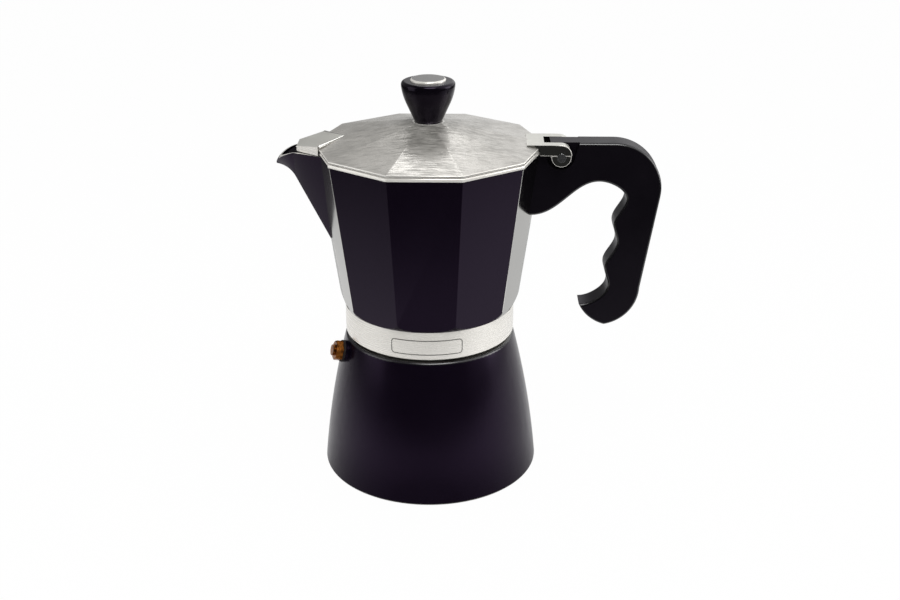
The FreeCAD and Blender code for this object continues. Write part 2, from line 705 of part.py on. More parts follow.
def coffee_column():
    """Tapered tube with a spigot in the floor, a flange on it, a closed top and two side slots."""
    top = CHAMBER_FLOOR + COLUMN_HEIGHT
    bore_top = top - 2 * COLUMN_CAP
    dome = (COLUMN_TOP_RADIUS ** 2 + COLUMN_CAP ** 2) / (2 * COLUMN_CAP)
    lean = math.asin(COLUMN_TOP_RADIUS / dome) / 2
    dome_via = xz(dome * math.sin(lean), top - dome * (1 - math.cos(lean)))
    tube = turned(outline(
        xz(COLUMN_BORE, BREW_TOP),
        xz(COLUMN_FOOT_RADIUS, BREW_TOP),
        xz(COLUMN_FOOT_RADIUS, CHAMBER_FLOOR),
        xz(COLUMN_FOOT_RADIUS + COLUMN_FLANGE, CHAMBER_FLOOR),
        xz(COLUMN_FOOT_RADIUS + COLUMN_FLANGE, CHAMBER_FLOOR + COLUMN_FLANGE),
        xz(COLUMN_FOOT_RADIUS, CHAMBER_FLOOR + 2 * COLUMN_FLANGE),
        xz(COLUMN_TOP_RADIUS, top - COLUMN_CAP),
        (dome_via, xz(0, top)),
        xz(0, bore_top),
        xz(COLUMN_BORE, bore_top),
    ))
    half = COLUMN_SLOT_WIDTH / 2
    slot_top = bore_top - COLUMN_SLOT_DROP
    reach = COLUMN_FOOT_RADIUS
    slot = box((-half, half), (-reach, reach), (slot_top - COLUMN_SLOT_HEIGHT, slot_top))
    return tube.cut(slot)


def at_pin(reach, drop):
    return xz(PIN_X + reach, PIN_Z - drop)


def on_bend(angle):
    """Place on the handle's bend, at an angle below the level of the bend's centre."""
    reach = HANDLE_REACH + HANDLE_BEND_RADIUS * (math.cos(angle) - 1)
    drop = HANDLE_BEND_RADIUS * (math.sin(angle) + 1) - EAR_TOP
    return at_pin(reach, drop)


def handle_back(drop):
    """Reach of the grip's straight back, which runs on from the bend."""
    lean = math.radians(HANDLE_LEAN)
    end = on_bend(lean)
    return end.x - PIN_X - math.tan(lean) * (drop - PIN_Z + end.z)


def handle_outline():
    """Side view of the handle: flat top, round bend, leaning back, hook and finger grooves."""
    top = -EAR_TOP
    root_top = RIM - RIM_BAND_HEIGHT - LID_CLEARANCE
    root_z = PIN_Z - ROOT_END_DROP
    root_x = corner_radius(root_z) - HANDLE_THICKNESS / 2 * math.tan(HALF_FACET) - BODY_WALL / 2
    lean = math.radians(HANDLE_LEAN)
    bend_start = on_bend(-math.pi / 2)
    bend_end = on_bend(lean)
    heel = at_pin(handle_back(HANDLE_HEEL_DROP), HANDLE_HEEL_DROP)
    foot = at_pin(HANDLE_FOOT_REACH, HANDLE_FOOT_DROP)
    nose = at_pin(HOOK_NOSE_REACH, HOOK_NOSE_DROP)
    bend_via = on_bend((lean - math.pi / 2) / 2)
    heel_via = bulged(heel, foot, HANDLE_HEEL_SWELL)
    nose_via = bulged(foot, nose, HOOK_SWELL)
    back = [
        Part.LineSegment(xz(root_x, root_top), xz(PIN_X - TONGUE_REACH, root_top)).toShape(),
        Part.LineSegment(xz(PIN_X - TONGUE_REACH, root_top), at_pin(-TONGUE_REACH, top)).toShape(),
        Part.LineSegment(at_pin(-TONGUE_REACH, top), bend_start).toShape(),
        Part.Arc(bend_start, bend_via, bend_end).toShape(),
        Part.LineSegment(bend_end, heel).toShape(),
        Part.Arc(heel, heel_via, foot).toShape(),
        Part.Arc(foot, nose_via, nose).toShape(),
    ]
    inner = [nose, at_pin(HOOK_FLOOR_REACH, HOOK_FLOOR_DROP)]
    for k in range(GROOVE_COUNT):
        drop = TOP_GROOVE_DROP + GROOVE_PITCH * (GROOVE_COUNT - 1 - k)
        inner.append(at_pin(handle_back(drop) - GRIP_THIN, drop))
        if k < GROOVE_COUNT - 1:
            ridge_drop = drop - GROOVE_PITCH * RIDGE_RISE
            inner.append(at_pin(handle_back(ridge_drop) - GRIP_THICK, ridge_drop))
    root = xz(root_x, root_z)
    inner.append(at_pin(ARCH_REACH, ARCH_DROP))
    inner.append(at_pin(THROAT_REACH, THROAT_DROP))
    inner.append(at_pin(ROOT_REACH, ROOT_DROP))
    inner.append(root)
    spline = Part.BSplineCurve()
    spline.interpolate(inner)
    front = [spline.toShape(), Part.LineSegment(root, xz(root_x, root_top)).toShape()]
    return Part.Wire(back + front)


def handle():
    half = HANDLE_THICKNESS / 2
    plate = slab(handle_outline(), -half, half)
    rounded = []
    for edge in plate.Edges:
        bounds = edge.BoundBox
        on_a_side = bounds.YMax - bounds.YMin < TOUCH
        if on_a_side and bounds.XMax > PIN_X + POCKET_MOUTH:
            rounded.append(edge)
    plate = plate.makeFillet(HANDLE_EDGE_RADIUS, rounded)
    tongue = TONGUE_WIDTH / 2
    ear_root = LID_CORNER - HINGE_TAB_ROOT - PIN_X
    pocket = slab(outline(
        at_pin(ear_root, -POCKET_MOUTH),
        at_pin(ear_root, TONGUE_CLEARANCE - EAR_BOTTOM),
        at_pin(-POCKET_RADIUS, TONGUE_CLEARANCE - EAR_BOTTOM),
        at_pin(-POCKET_RADIUS, 0),
        (at_pin(0, POCKET_RADIUS), at_pin(POCKET_RADIUS, 0)),
        at_pin(POCKET_MOUTH, -EAR_TOP),
        at_pin(POCKET_MOUTH, -POCKET_MOUTH),
    ), tongue, half)
    pin_hole = Part.makeCylinder(PIN_RADIUS, HANDLE_THICKNESS, Vector(PIN_X, -half, PIN_Z), ACROSS)
    shank = on_handle_screw(SCREW_RADIUS + SCREW_CLEARANCE, handle_screw_end(), HANDLE_SCREW_SEAT)
    head = on_handle_screw(
        SCREW_HEAD_RADIUS + SCREW_CLEARANCE, HANDLE_SCREW_SEAT, HANDLE_SCREW_SEAT + HANDLE_THICKNESS)
    lug = lug_box(LUG_CLEARANCE)
    return plate.cut([pocket, mirrored(pocket), body_outside(), lug, pin_hole, shank, head])


def handle_screw():
    seat = HANDLE_SCREW_SEAT
    shank = on_handle_screw(SCREW_RADIUS, handle_screw_end(), seat)
    return shank.fuse(on_handle_screw(SCREW_HEAD_RADIUS, seat, seat + SCREW_HEAD_HEIGHT))


def hinge_pin():
    face = EAR_OUTER + PIN_CLEARANCE
    pin = Part.makeCylinder(PIN_RADIUS, 2 * face, Vector(PIN_X, -face, PIN_Z), ACROSS)
    heads = []
    for y in (-face - PIN_HEAD_HEIGHT, face):
        heads.append(Part.makeCylinder(PIN_HEAD_RADIUS, PIN_HEAD_HEIGHT, Vector(PIN_X, y, PIN_Z), ACROSS))
    return pin.fuse(heads)


def ear():
    """One hinge ear: a bar with a rounded end, over a round knuckle."""
    top = -EAR_TOP
    low = -EAR_BOTTOM
    corner = EAR_NOSE * (1 - math.sqrt(0.5))
    bar = slab(outline(
        xz(LID_CORNER - HINGE_TAB_ROOT, PIN_Z + EAR_BOTTOM),
        xz(LID_CORNER - HINGE_TAB_ROOT, PIN_Z + EAR_TOP),
        at_pin(0, top),
        (at_pin(EAR_NOSE - corner, top + corner), at_pin(EAR_NOSE, top + EAR_NOSE)),
        at_pin(EAR_NOSE, low),
    ), EAR_INNER, EAR_OUTER)
    knuckle = Part.makeCylinder(
        KNUCKLE_RADIUS, EAR_THICKNESS - EAR_RELIEF, Vector(PIN_X, EAR_INNER, PIN_Z), ACROSS)
    return bar.fuse(knuckle)


def lid_pyramid(drop):
    """Low ten-sided pyramid of the lid; the drop lowers it to make the hollow below."""
    corner = LID_CORNER
    if drop:
        corner = LID_CORNER - (drop - LID_EDGE) / LID_SLOPE
    low = LID_BOTTOM if drop else LID_EDGE_TOP
    return frustum(corner, low, LID_TOP_RADIUS, LID_TOP - drop)


def cover_wedge(inset):
    """Flat-topped cover over the spout, kite-shaped from above, its top sloping to the tip."""
    root = -LID_CORNER + COVER_ROOT - inset
    widest = -LID_CORNER + COVER_SHOULDER
    tip = -LID_CORNER - COVER_REACH + inset
    low = SPOUT_RIM + COVER_GAP
    tip_top = low + COVER_TIP_HEIGHT
    root_top = LID_EDGE_TOP + COVER_ROOT * LID_SLOPE
    slope = (root_top - tip_top) / (COVER_ROOT + COVER_REACH)
    half = COVER_HALF_WIDTH - inset
    tip_half = COVER_TIP_HALF_WIDTH - inset
    plan = Part.Face(Part.makePolygon([
        Vector(root, 0, low),
        Vector(widest, half, low),
        Vector(tip, tip_half, low),
        Vector(tip, -tip_half, low),
        Vector(widest, -half, low),
        Vector(root, 0, low),
    ]))
    prism = plan.extrude(Vector(0, 0, root_top - low))
    top = slab(outline(
        xz(tip, low),
        xz(root, low),
        xz(root, root_top - inset),
        xz(tip, root_top - inset - slope * (root - tip)),
    ), -COVER_HALF_WIDTH, COVER_HALF_WIDTH)
    return prism.common(top)


def lid():
    rim = frustum(LID_CORNER, LID_BOTTOM, LID_CORNER, LID_EDGE_TOP)
    tab = box(
        (LID_CORNER - HINGE_TAB_ROOT, PIN_X - HINGE_WEB),
        (-EAR_OUTER, EAR_OUTER),
        (LID_BOTTOM, PIN_Z + EAR_TOP),
    )
    outside = rim.fuse([lid_pyramid(0), cover_wedge(0), tab, ear(), mirrored(ear())])
    clear = BAND_CORNER + LID_CLEARANCE
    ear_low = PIN_Z - KNUCKLE_RADIUS
    hinge_side = box((0, clear), (-clear, clear), (ear_low, LID_BOTTOM))
    clearance = frustum(clear, ear_low, clear, LID_BOTTOM).common(hinge_side)
    slot = box((PIN_X - HINGE_WEB, PIN_X + HINGE_WEB), (-EAR_INNER, EAR_INNER), (PIN_Z, LID_TOP))
    pin_hole = Part.makeCylinder(
        PIN_RADIUS + PIN_CLEARANCE, 2 * EAR_OUTER, Vector(PIN_X, -EAR_OUTER, PIN_Z), ACROSS)
    screw_hole = Part.makeCylinder(
        SCREW_RADIUS + SCREW_CLEARANCE, LID_RISE, Vector(0, 0, LID_TOP - LID_RISE))
    hollow = [lid_pyramid(LID_WALL), cover_wedge(COVER_WALL)]
    return outside.cut(hollow + [clearance, slot, pin_hole, screw_hole])


def lid_knob():
    crown_low = LID_TOP + KNOB_CROWN
    top = LID_TOP + KNOB_HEIGHT
    cheek = xz(KNOB_CHEEK_RADIUS, LID_TOP + KNOB_CHEEK)
    side = xz(KNOB_RADIUS, crown_low)
    via = bulged(cheek, side, -KNOB_SWELL)
    recess = INSERT_RADIUS + INSERT_CLEARANCE
    knob = turned(outline(
        xz(0, LID_TOP),
        xz(KNOB_FOOT_RADIUS, LID_TOP),
        cheek,
        (via, side),
        xz(KNOB_RADIUS, top),
        xz(recess, top),
        xz(recess, top - INSERT_RECESS),
        xz(0, top - INSERT_RECESS),
    ))
    knob = knob.makeFillet(KNOB_EDGE_RADIUS, circle_edges(knob, KNOB_RADIUS, top))
    hole_length = KNOB_SCREW_LENGTH - LID_WALL
    return knob.cut(Part.makeCylinder(SCREW_RADIUS, hole_length, Vector(0, 0, LID_TOP)))


def knob_insert():
    low = LID_TOP + KNOB_HEIGHT - INSERT_RECESS
    disc = Part.makeCylinder(INSERT_RADIUS, INSERT_THICKNESS, Vector(0, 0, low))
    return disc.makeChamfer(INSERT_BEVEL, circle_edges(disc, INSERT_RADIUS, low + INSERT_THICKNESS))


def knob_washer():
    low = LID_TOP - LID_WALL - WASHER_THICKNESS
    ring = Part.makeCylinder(WASHER_RADIUS, WASHER_THICKNESS, Vector(0, 0, low))
    return ring.cut(Part.makeCylinder(SCREW_RADIUS + SCREW_CLEARANCE, WASHER_THICKNESS, Vector(0, 0, low)))


def knob_screw():
    seat = LID_TOP - LID_WALL - WASHER_THICKNESS
    head = Part.makeCylinder(SCREW_HEAD_RADIUS, SCREW_HEAD_HEIGHT, Vector(0, 0, seat - SCREW_HEAD_HEIGHT))
    length = KNOB_SCREW_LENGTH + WASHER_THICKNESS
    return head.fuse(Part.makeCylinder(SCREW_RADIUS, length, Vector(0, 0, seat)))


PIECES = [
    boiler, valve_body, valve_washer, valve_cap, valve_spring, valve_poppet, valve_seal,
    funnel, funnel_filter, gasket, filter_plate, collector, coffee_column,
    handle, handle_screw, hinge_pin, lid, lid_knob, knob_insert, knob_screw, knob_washer,
]

os.makedirs("parts", exist_ok=True)
for piece in PIECES:
    shape = piece()
    state = "ok" if shape.isValid() else "NOT VALID"
    print(piece.__name__, state, len(shape.Solids), round(shape.Volume, 2))
    shape.exportStep("parts/" + piece.__name__ + ".step")
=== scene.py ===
import math

import bpy
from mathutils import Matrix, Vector


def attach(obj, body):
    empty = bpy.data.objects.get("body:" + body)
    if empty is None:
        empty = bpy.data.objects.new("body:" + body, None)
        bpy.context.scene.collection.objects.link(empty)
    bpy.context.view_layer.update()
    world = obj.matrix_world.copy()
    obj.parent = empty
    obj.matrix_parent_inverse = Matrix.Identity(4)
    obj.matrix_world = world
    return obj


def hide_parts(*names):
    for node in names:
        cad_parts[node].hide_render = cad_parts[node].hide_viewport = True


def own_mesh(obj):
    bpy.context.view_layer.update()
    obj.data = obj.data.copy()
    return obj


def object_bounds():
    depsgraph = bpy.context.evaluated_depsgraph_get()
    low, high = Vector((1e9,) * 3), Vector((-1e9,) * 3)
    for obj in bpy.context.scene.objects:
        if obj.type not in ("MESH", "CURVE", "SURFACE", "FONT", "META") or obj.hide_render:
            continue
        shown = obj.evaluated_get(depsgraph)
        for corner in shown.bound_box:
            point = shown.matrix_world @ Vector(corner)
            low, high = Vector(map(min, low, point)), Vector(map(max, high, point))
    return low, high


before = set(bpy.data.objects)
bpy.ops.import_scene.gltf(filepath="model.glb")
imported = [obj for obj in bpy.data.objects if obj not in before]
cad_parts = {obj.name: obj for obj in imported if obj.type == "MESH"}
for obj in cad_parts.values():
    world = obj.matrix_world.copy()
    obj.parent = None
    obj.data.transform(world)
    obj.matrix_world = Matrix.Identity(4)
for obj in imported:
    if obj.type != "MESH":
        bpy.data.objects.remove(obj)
cad_low, cad_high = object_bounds()

# A stove-top moka pot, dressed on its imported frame. Lengths are in metres, written in millimetres.
# +Z is up, +X points to the handle, -X to the spout, and the camera looks from the -Y side.
MM = 0.001

# Collector: ten facets, painted on the three that face front and the three that face back
FACETS = 10
FACET_STEP = 360 / FACETS           # degrees from facet to facet
FLAT_SHARE = math.cos(math.pi / FACETS)     # a facet's distance from the axis, over its corners'
RING_RADIUS = 38.5 * MM
RING_TOP = 80.0 * MM
BAND_BOTTOM = 151.3 * MM
RIM = 152.8 * MM
BASE_CORNER = 40.3 * MM
RIM_CORNER = 50.3 * MM
PAINT_EDGES = (36.0, 144.0)         # azimuth of the corners where paint ends, in degrees
PAINT_EDGE_SLACK = 0.5              # degrees
WALL_SKIN = 1.0 * MM                # faces this near to the outside count as outside

# Spout
SPOUT_FACET = 162.0                 # azimuth of the facet that each half of the spout grows from
SPOUT_FOOT = 108.8 * MM
SPOUT_SKIN = 0.15 * MM              # a face this far outside the facets belongs to the spout
SPOUT_MOUTH = -49.0 * MM            # inside the pot from here on, the spout's channel is raw

# Boiler: painted outside, from the turned base edge up to the shoulder
PAINT_LOW = 0.9 * MM
SHOULDER = 65.4 * MM
SHOULDER_FOOT = 64.5 * MM           # the rounding that carries the painted highlight starts here
BASE_RADIUS = 50.0 * MM
HALF_WALL = 0.8 * MM

# Lid, its hinge ears and the pin through them
LID_CORNER = 50.5 * MM
LID_EDGE_TOP = 153.9 * MM
LID_TOP = 163.5 * MM
LID_TOP_RADIUS = 6.8 * MM
LID_SKIN = 1.0 * MM                 # faces this near to the top count as outside
DULL_NEAR = 12.0 * MM               # the lid is dullest this near to the knob
CLEAN_FROM = 42.0 * MM              # and cleanest beyond this distance
CLEAN_SHARE = 0.45                  # share of its marks that is wiped off there
EAR_START = 48.0 * MM               # the hinge ears lie beyond this
EAR_FACE = 9.4 * MM                 # their outer faces, from the middle
KNUCKLE_FACE = 9.0 * MM             # and the faces of the round knuckles below them
COVER_START = -36.0 * MM            # the spout cover lies beyond this
COVER_SKIN = 0.1 * MM               # and stands at least this far above the facets
BEAD_ROOT = Vector((-36.9, -0.3, 156.6)) * MM       # ends of the bead along the spout cover
BEAD_END = Vector((-46.8, -12.4, 154.8)) * MM
BEAD_ROOT_RADIUS = 0.35 * MM
BEAD_END_RADIUS = 0.75 * MM
BEAD_EDGE = 0.28 * MM
BEAD_SIDES = 24
UPRIGHT = 0.6                       # upright faces lean less than this, as a sine
PIN_PLACE = Vector((57.5, 0.0, 150.0)) * MM
PIN_RADIUS = 1.6 * MM
PIN_FACE = 9.45 * MM                # half the length between the two heads
PIN_HEAD_RADIUS = 2.0 * MM
PIN_HEAD_HEIGHT = 0.5 * MM
PIN_HEAD_EDGE = PIN_HEAD_HEIGHT / 4
PIN_DISH_DEPTH = PIN_HEAD_HEIGHT / 3
PIN_DISH_RIM = PIN_HEAD_RADIUS / 3  # width of the rim round the dish in each head
PIN_SIDES = 48

# Handle and knob
EDGE_TURN = (0.35, 0.97)            # the handle's rounded edges face this far to the side, as a sine
DISC_FACED = 0.95                   # the disc's faces nearer to level than this are its faced top

# Bare plate on the ring
PLATE_WIDTH = 32.0 * MM
PLATE_HEIGHT = 7.0 * MM
PLATE_CORNER = 1.6 * MM
PLATE_CORNER_STEPS = 5
PLATE_STEPS = 32                    # flats along it, so that it bends with the ring
PLATE_FRAME = 0.38 * MM
PLATE_PROUD = 0.06 * MM
PLATE_RISE = 72.8 * MM              # height of its middle

# Softened edges
CAST_EDGE = 0.35 * MM               # corners of the collector and edges of the spout
HIGHLIGHT_BEVEL = 0.2 * MM              # corners where the paint ends, which carry a painted highlight
RIM_EDGE = 0.7 * MM                 # upper edge of the collector
LID_EDGE = 0.3 * MM                 # round the lid's rim
CREASE_EDGE = 0.2 * MM              # between the lid's facets
WORN_CREASE_EDGE = 0.4 * MM         # and beside its front and back facets
EAR_EDGE = 0.28 * MM
COVER_EDGE = 0.5 * MM
DISC_EDGE = 0.15 * MM
EDGE_STEPS = 3                      # flats round each softened edge
LONG_EDGE = 3.0 * MM                # shorter edges stay sharp
SHARP = math.radians(6)             # edges that turn less than this aren't sharp
SMOOTH = math.radians(30)           # and less than this are shaded as one
FLAT = math.radians(0.4)            # faces that turn less than this are one face
MERGE = 0.002 * MM                  # points nearer than this are one point
SLIVER = 0.01 * MM                  # faces thinner than this are taken out
HALF_TURNED = math.sqrt(0.5)        # a face turned by 45 degrees has this much of each direction

# Patterns
NOISE_SPAN = {"From Min": 0.3, "From Max": 0.7}     # most of a cloudy pattern lies between these
WEAR_SPAN = {"From Min": 0.43, "From Max": 0.56}    # most of the lid's marks
STAIN_SPAN = {"From Min": 0.32, "From Max": 0.66}   # and most of the heat stains
WAVE_PERIOD = 0.314                 # metres from ring to ring where a wave's scale is 1

# Sockets of a Mix node, which go by number because their names repeat
FIRST_NUMBER, SECOND_NUMBER = 2, 3
FIRST_COLOUR, SECOND_COLOUR = 6, 7
MIXED_NUMBER = 0
MIXED_COLOUR = 2

# Camera and studio, in metres where no other unit is given
FOCAL_PIXELS = 1268.2               # of a picture this many pixels wide
PHOTO_WIDTH = 900
SENSOR = 36.0                       # width in the camera's own millimetres
NEAR_CLIP = 0.01
CAMERA_PLACE = Vector((19.9, -534.8, 310.0)) * MM
CAMERA_TURN = (math.radians(66.65), 0.0, math.radians(1.13))
FLOOR_SIZE = 8.0
PAPER_WHITE = 0.975                 # share of the floor that is plain white to the eye
PAPER_SHINE = 0.85                  # brightness of the near paper in reflections
PAPER_NEAR = 0.1                    # reflections of the paper in front of the pot fade from here
PAPER_FAR = 0.24                    # to here, and more slowly towards the sides
PAPER_SPREAD = 0.5
PAPER_SHIFT = 0.08                  # the near paper lies this far to the right of the pot
SHADE_PLACE = (0.0, -0.06, 0.0)     # the pot's own shade on the paper in front of its foot
SHADE_NEAR = 0.02
SHADE_FAR = 0.1
SHADE_SHARE = 0.25
STUDIO_FILL = 0.55                  # light from all round
STUDIO_SHINE = 0.95                 # brightness of the back wall in reflections
DARK_SIDE = 0.05                    # and of the side where the camera stands
DARK_BAND = (-0.7, -0.2)            # where that side turns into the walls, as the Y of a direction
LEFT_SHARE = 0.2                    # the wall is dimmer on the left and brighter on the right
RIGHT_SHARE = 1.15
SIDE_BAND = (-0.2, 0.2)             # between these, as the X of a direction
ZENITH_SHARE = 0.5                  # and the ceiling is half dark
ZENITH_BAND = (0.75, 0.95)          # as the Z of a direction
SOFTBOXES = (                       # name, place, width, height and brightness
    ("softbox_left", (-0.5, -0.15, 0.25), 0.35, 0.5, 0.9),
    ("softbox_right", (0.75, 0.05, 0.25), 0.4, 0.5, 2.2),
    ("softbox_back", (-0.01, 0.58, 0.69), 0.2, 0.2, 3.8),
    ("softbox_top", (0.1, -0.38, 0.8), 0.46, 0.34, 5.6),
)


def linear(code):
    """Linear colour of an sRGB hex code."""
    channels = []
    for place in (1, 3, 5):
        value = int(code[place:place + 2], 16) / 255
        channels.append(value / 12.92 if value <= 0.04045 else ((value + 0.055) / 1.055) ** 2.4)
    return (*channels, 1.0)


def every(width):
    """Scale of a pattern whose marks are this many millimetres wide."""
    return 1 / (width * MM)


def add(tree, kind, links=None, values=None, **settings):
    """A new node with its settings, its constant values and what feeds it."""
    node = tree.nodes.new(kind)
    for name, value in settings.items():
        setattr(node, name, value)
    for socket, value in (values or {}).items():
        node.inputs[socket].default_value = value
    for socket, source in (links or {}).items():
        tree.links.new(source, node.inputs[socket])
    return node


def new_finish(name, **constants):
    """A material with its shader's constants set, and the piece's own coordinates."""
    material = bpy.data.materials.new(name)
    material.use_nodes = True
    tree = material.node_tree
    shader = tree.nodes["Principled BSDF"]
    for socket, value in constants.items():
        shader.inputs[socket.replace("_", " ")].default_value = value
    place = add(tree, "ShaderNodeTexCoord").outputs["Object"]
    return material, tree, shader, place


# Sprayed stoving enamel on cast aluminium: near black with a violet cast, satin, with a faint
# orange peel that breaks up the edges of reflections. A copy with full, white shine paints a highlight
# round the boiler's shoulder; a dull copy inside the spout is partly overspray, partly painted shade.
def dark_enamel(name, shine, tint):
    material, tree, shader, place = new_finish(
        name, Specular_IOR_Level=shine, Specular_Tint=linear(tint))
    cloud = add(tree, "ShaderNodeTexNoise", {"Vector": place}, {"Scale": every(30), "Detail": 3.0})
    tone = add(tree, "ShaderNodeMix", {"Factor": cloud.outputs["Fac"]},
               {FIRST_COLOUR: linear("#08040c"), SECOND_COLOUR: linear("#0c0711")}, data_type="RGBA")
    tree.links.new(tone.outputs[MIXED_COLOUR], shader.inputs["Base Color"])
    gloss = add(tree, "ShaderNodeMapRange", {"Value": cloud.outputs["Fac"]},
                {**NOISE_SPAN, "To Min": 0.2, "To Max": 0.27})
    tree.links.new(gloss.outputs["Result"], shader.inputs["Roughness"])
    peel = add(tree, "ShaderNodeTexNoise", {"Vector": place}, {"Scale": every(1.2), "Detail": 2.0})
    bump = add(tree, "ShaderNodeBump", {"Height": peel.outputs["Fac"]},
               {"Strength": 0.12, "Distance": 0.03 * MM})
    tree.links.new(bump.outputs["Normal"], shader.inputs["Normal"])
    return material


# Cast aluminium, ground and polished on the bare facets: a soft grey mirror with faint upright
# polishing lines.
def bare_aluminium():
    material, tree, shader, place = new_finish("aluminium_cast_polished", Metallic=1.0)
    cloud = add(tree, "ShaderNodeTexNoise", {"Vector": place}, {"Scale": every(22), "Detail": 4.0})
    tone = add(tree, "ShaderNodeMix", {"Factor": cloud.outputs["Fac"]},
               {FIRST_COLOUR: linear("#8f8e8a"), SECOND_COLOUR: linear("#9c9b97")}, data_type="RGBA")
    tree.links.new(tone.outputs[MIXED_COLOUR], shader.inputs["Base Color"])
    # polishing lines 0.25 mm apart and about 12 mm long
    stretched = add(tree, "ShaderNodeMapping", {"Vector": place},
                    {"Scale": (every(0.25), every(0.25), every(12))})
    lines = add(tree, "ShaderNodeTexNoise", {"Vector": stretched.outputs["Vector"]},
                {"Scale": 1.0, "Detail": 2.0})
    gloss = add(tree, "ShaderNodeMapRange", {"Value": lines.outputs["Fac"]},
                {**NOISE_SPAN, "To Min": 0.08, "To Max": 0.16})
    tree.links.new(gloss.outputs["Result"], shader.inputs["Roughness"])
    bump = add(tree, "ShaderNodeBump", {"Height": lines.outputs["Fac"]},
               {"Strength": 0.06, "Distance": 0.01 * MM})
    tree.links.new(bump.outputs["Normal"], shader.inputs["Normal"])
    return material


# Aluminium ground on the ring, the rims and the edges of small parts: pale, warm and satin, with
# fine level lines.
def ground_aluminium():
    material, tree, shader, place = new_finish("aluminium_ground_satin", Metallic=0.4)
    cloud = add(tree, "ShaderNodeTexNoise", {"Vector": place}, {"Scale": every(16), "Detail": 3.0})
    tone = add(tree, "ShaderNodeMix", {"Factor": cloud.outputs["Fac"]},
               {FIRST_COLOUR: linear("#f3f0e9"), SECOND_COLOUR: linear("#fbf8f2")}, data_type="RGBA")
    tree.links.new(tone.outputs[MIXED_COLOUR], shader.inputs["Base Color"])
    # grinding lines are drawn 0.5 mm apart, coarser than they are, so that they show
    stretched = add(tree, "ShaderNodeMapping", {"Vector": place},
                    {"Scale": (every(14), every(14), every(0.5))})
    lines = add(tree, "ShaderNodeTexNoise", {"Vector": stretched.outputs["Vector"]},
                {"Scale": 1.0, "Detail": 2.0})
    gloss = add(tree, "ShaderNodeMapRange", {"Value": lines.outputs["Fac"]},
                {**NOISE_SPAN, "To Min": 0.24, "To Max": 0.29})
    tree.links.new(gloss.outputs["Result"], shader.inputs["Roughness"])
    bump = add(tree, "ShaderNodeBump", {"Height": lines.outputs["Fac"]},
               {"Strength": 0.025, "Distance": 0.01 * MM})
    tree.links.new(bump.outputs["Normal"], shader.inputs["Normal"])
    return material


# Polished aluminium lid, wiped many times: crosswise scratches and cloudy, finger-dulled places.
def wiped_aluminium():
    material, tree, shader, place = new_finish("aluminium_polished_wiped", Metallic=0.4)
    smear = add(tree, "ShaderNodeTexNoise", {"Vector": place},
                {"Scale": every(14), "Detail": 5.0, "Roughness": 0.6})
    # wiping scratches are drawn 0.8 mm apart, coarser than they are, and about 6 mm long
    stretched = add(tree, "ShaderNodeMapping", {"Vector": place},
                    {"Scale": (every(6), every(0.8), every(3)),
                     "Rotation": (0.0, 0.0, math.radians(4))})
    scratch = add(tree, "ShaderNodeTexNoise", {"Vector": stretched.outputs["Vector"]},
                  {"Scale": 1.0, "Detail": 5.0, "Roughness": 0.75})
    wear = add(tree, "ShaderNodeMix",
               {FIRST_NUMBER: scratch.outputs["Fac"], SECOND_NUMBER: smear.outputs["Fac"]},
               {"Factor": 0.3})
    marks = add(tree, "ShaderNodeMapRange", {"Value": wear.outputs[MIXED_NUMBER]}, WEAR_SPAN)
    # fingers on the knob dull the middle of the lid more than its rim
    from_knob = add(tree, "ShaderNodeVectorMath", {0: place}, {1: (0.0, 0.0, LID_TOP)},
                    operation="DISTANCE")
    clean = add(tree, "ShaderNodeMapRange", {"Value": from_knob.outputs["Value"]},
                {"From Min": DULL_NEAR, "From Max": CLEAN_FROM, "To Min": 0.0, "To Max": CLEAN_SHARE})
    wiped = add(tree, "ShaderNodeMix",
                {"Factor": clean.outputs["Result"], FIRST_NUMBER: marks.outputs["Result"]},
                {SECOND_NUMBER: 1.0})
    tone = add(tree, "ShaderNodeMix", {"Factor": wiped.outputs[MIXED_NUMBER]},
               {FIRST_COLOUR: linear("#7e7c77"), SECOND_COLOUR: linear("#cbc8c2")}, data_type="RGBA")
    tree.links.new(tone.outputs[MIXED_COLOUR], shader.inputs["Base Color"])
    gloss = add(tree, "ShaderNodeMapRange", {"Value": wear.outputs[MIXED_NUMBER]},
                {**WEAR_SPAN, "To Min": 0.38, "To Max": 0.26})
    tree.links.new(gloss.outputs["Result"], shader.inputs["Roughness"])
    bump = add(tree, "ShaderNodeBump", {"Height": scratch.outputs["Fac"]},
               {"Strength": 0.3, "Distance": 0.02 * MM})
    tree.links.new(bump.outputs["Normal"], shader.inputs["Normal"])
    return material


# Cast aluminium left satin on the small tops that no cloth reaches: even pale grey, softly clouded.
def satin_aluminium():
    material, tree, shader, place = new_finish("aluminium_cast_satin", Metallic=0.5)
    cloud = add(tree, "ShaderNodeTexNoise", {"Vector": place}, {"Scale": every(9), "Detail": 4.0})
    tone = add(tree, "ShaderNodeMix", {"Factor": cloud.outputs["Fac"]},
               {FIRST_COLOUR: linear("#cccbc4"), SECOND_COLOUR: linear("#dad9d2")}, data_type="RGBA")
    tree.links.new(tone.outputs[MIXED_COLOUR], shader.inputs["Base Color"])
    gloss = add(tree, "ShaderNodeMapRange", {"Value": cloud.outputs["Fac"]},
                {**NOISE_SPAN, "To Min": 0.28, "To Max": 0.38})
    tree.links.new(gloss.outputs["Result"], shader.inputs["Roughness"])
    return material
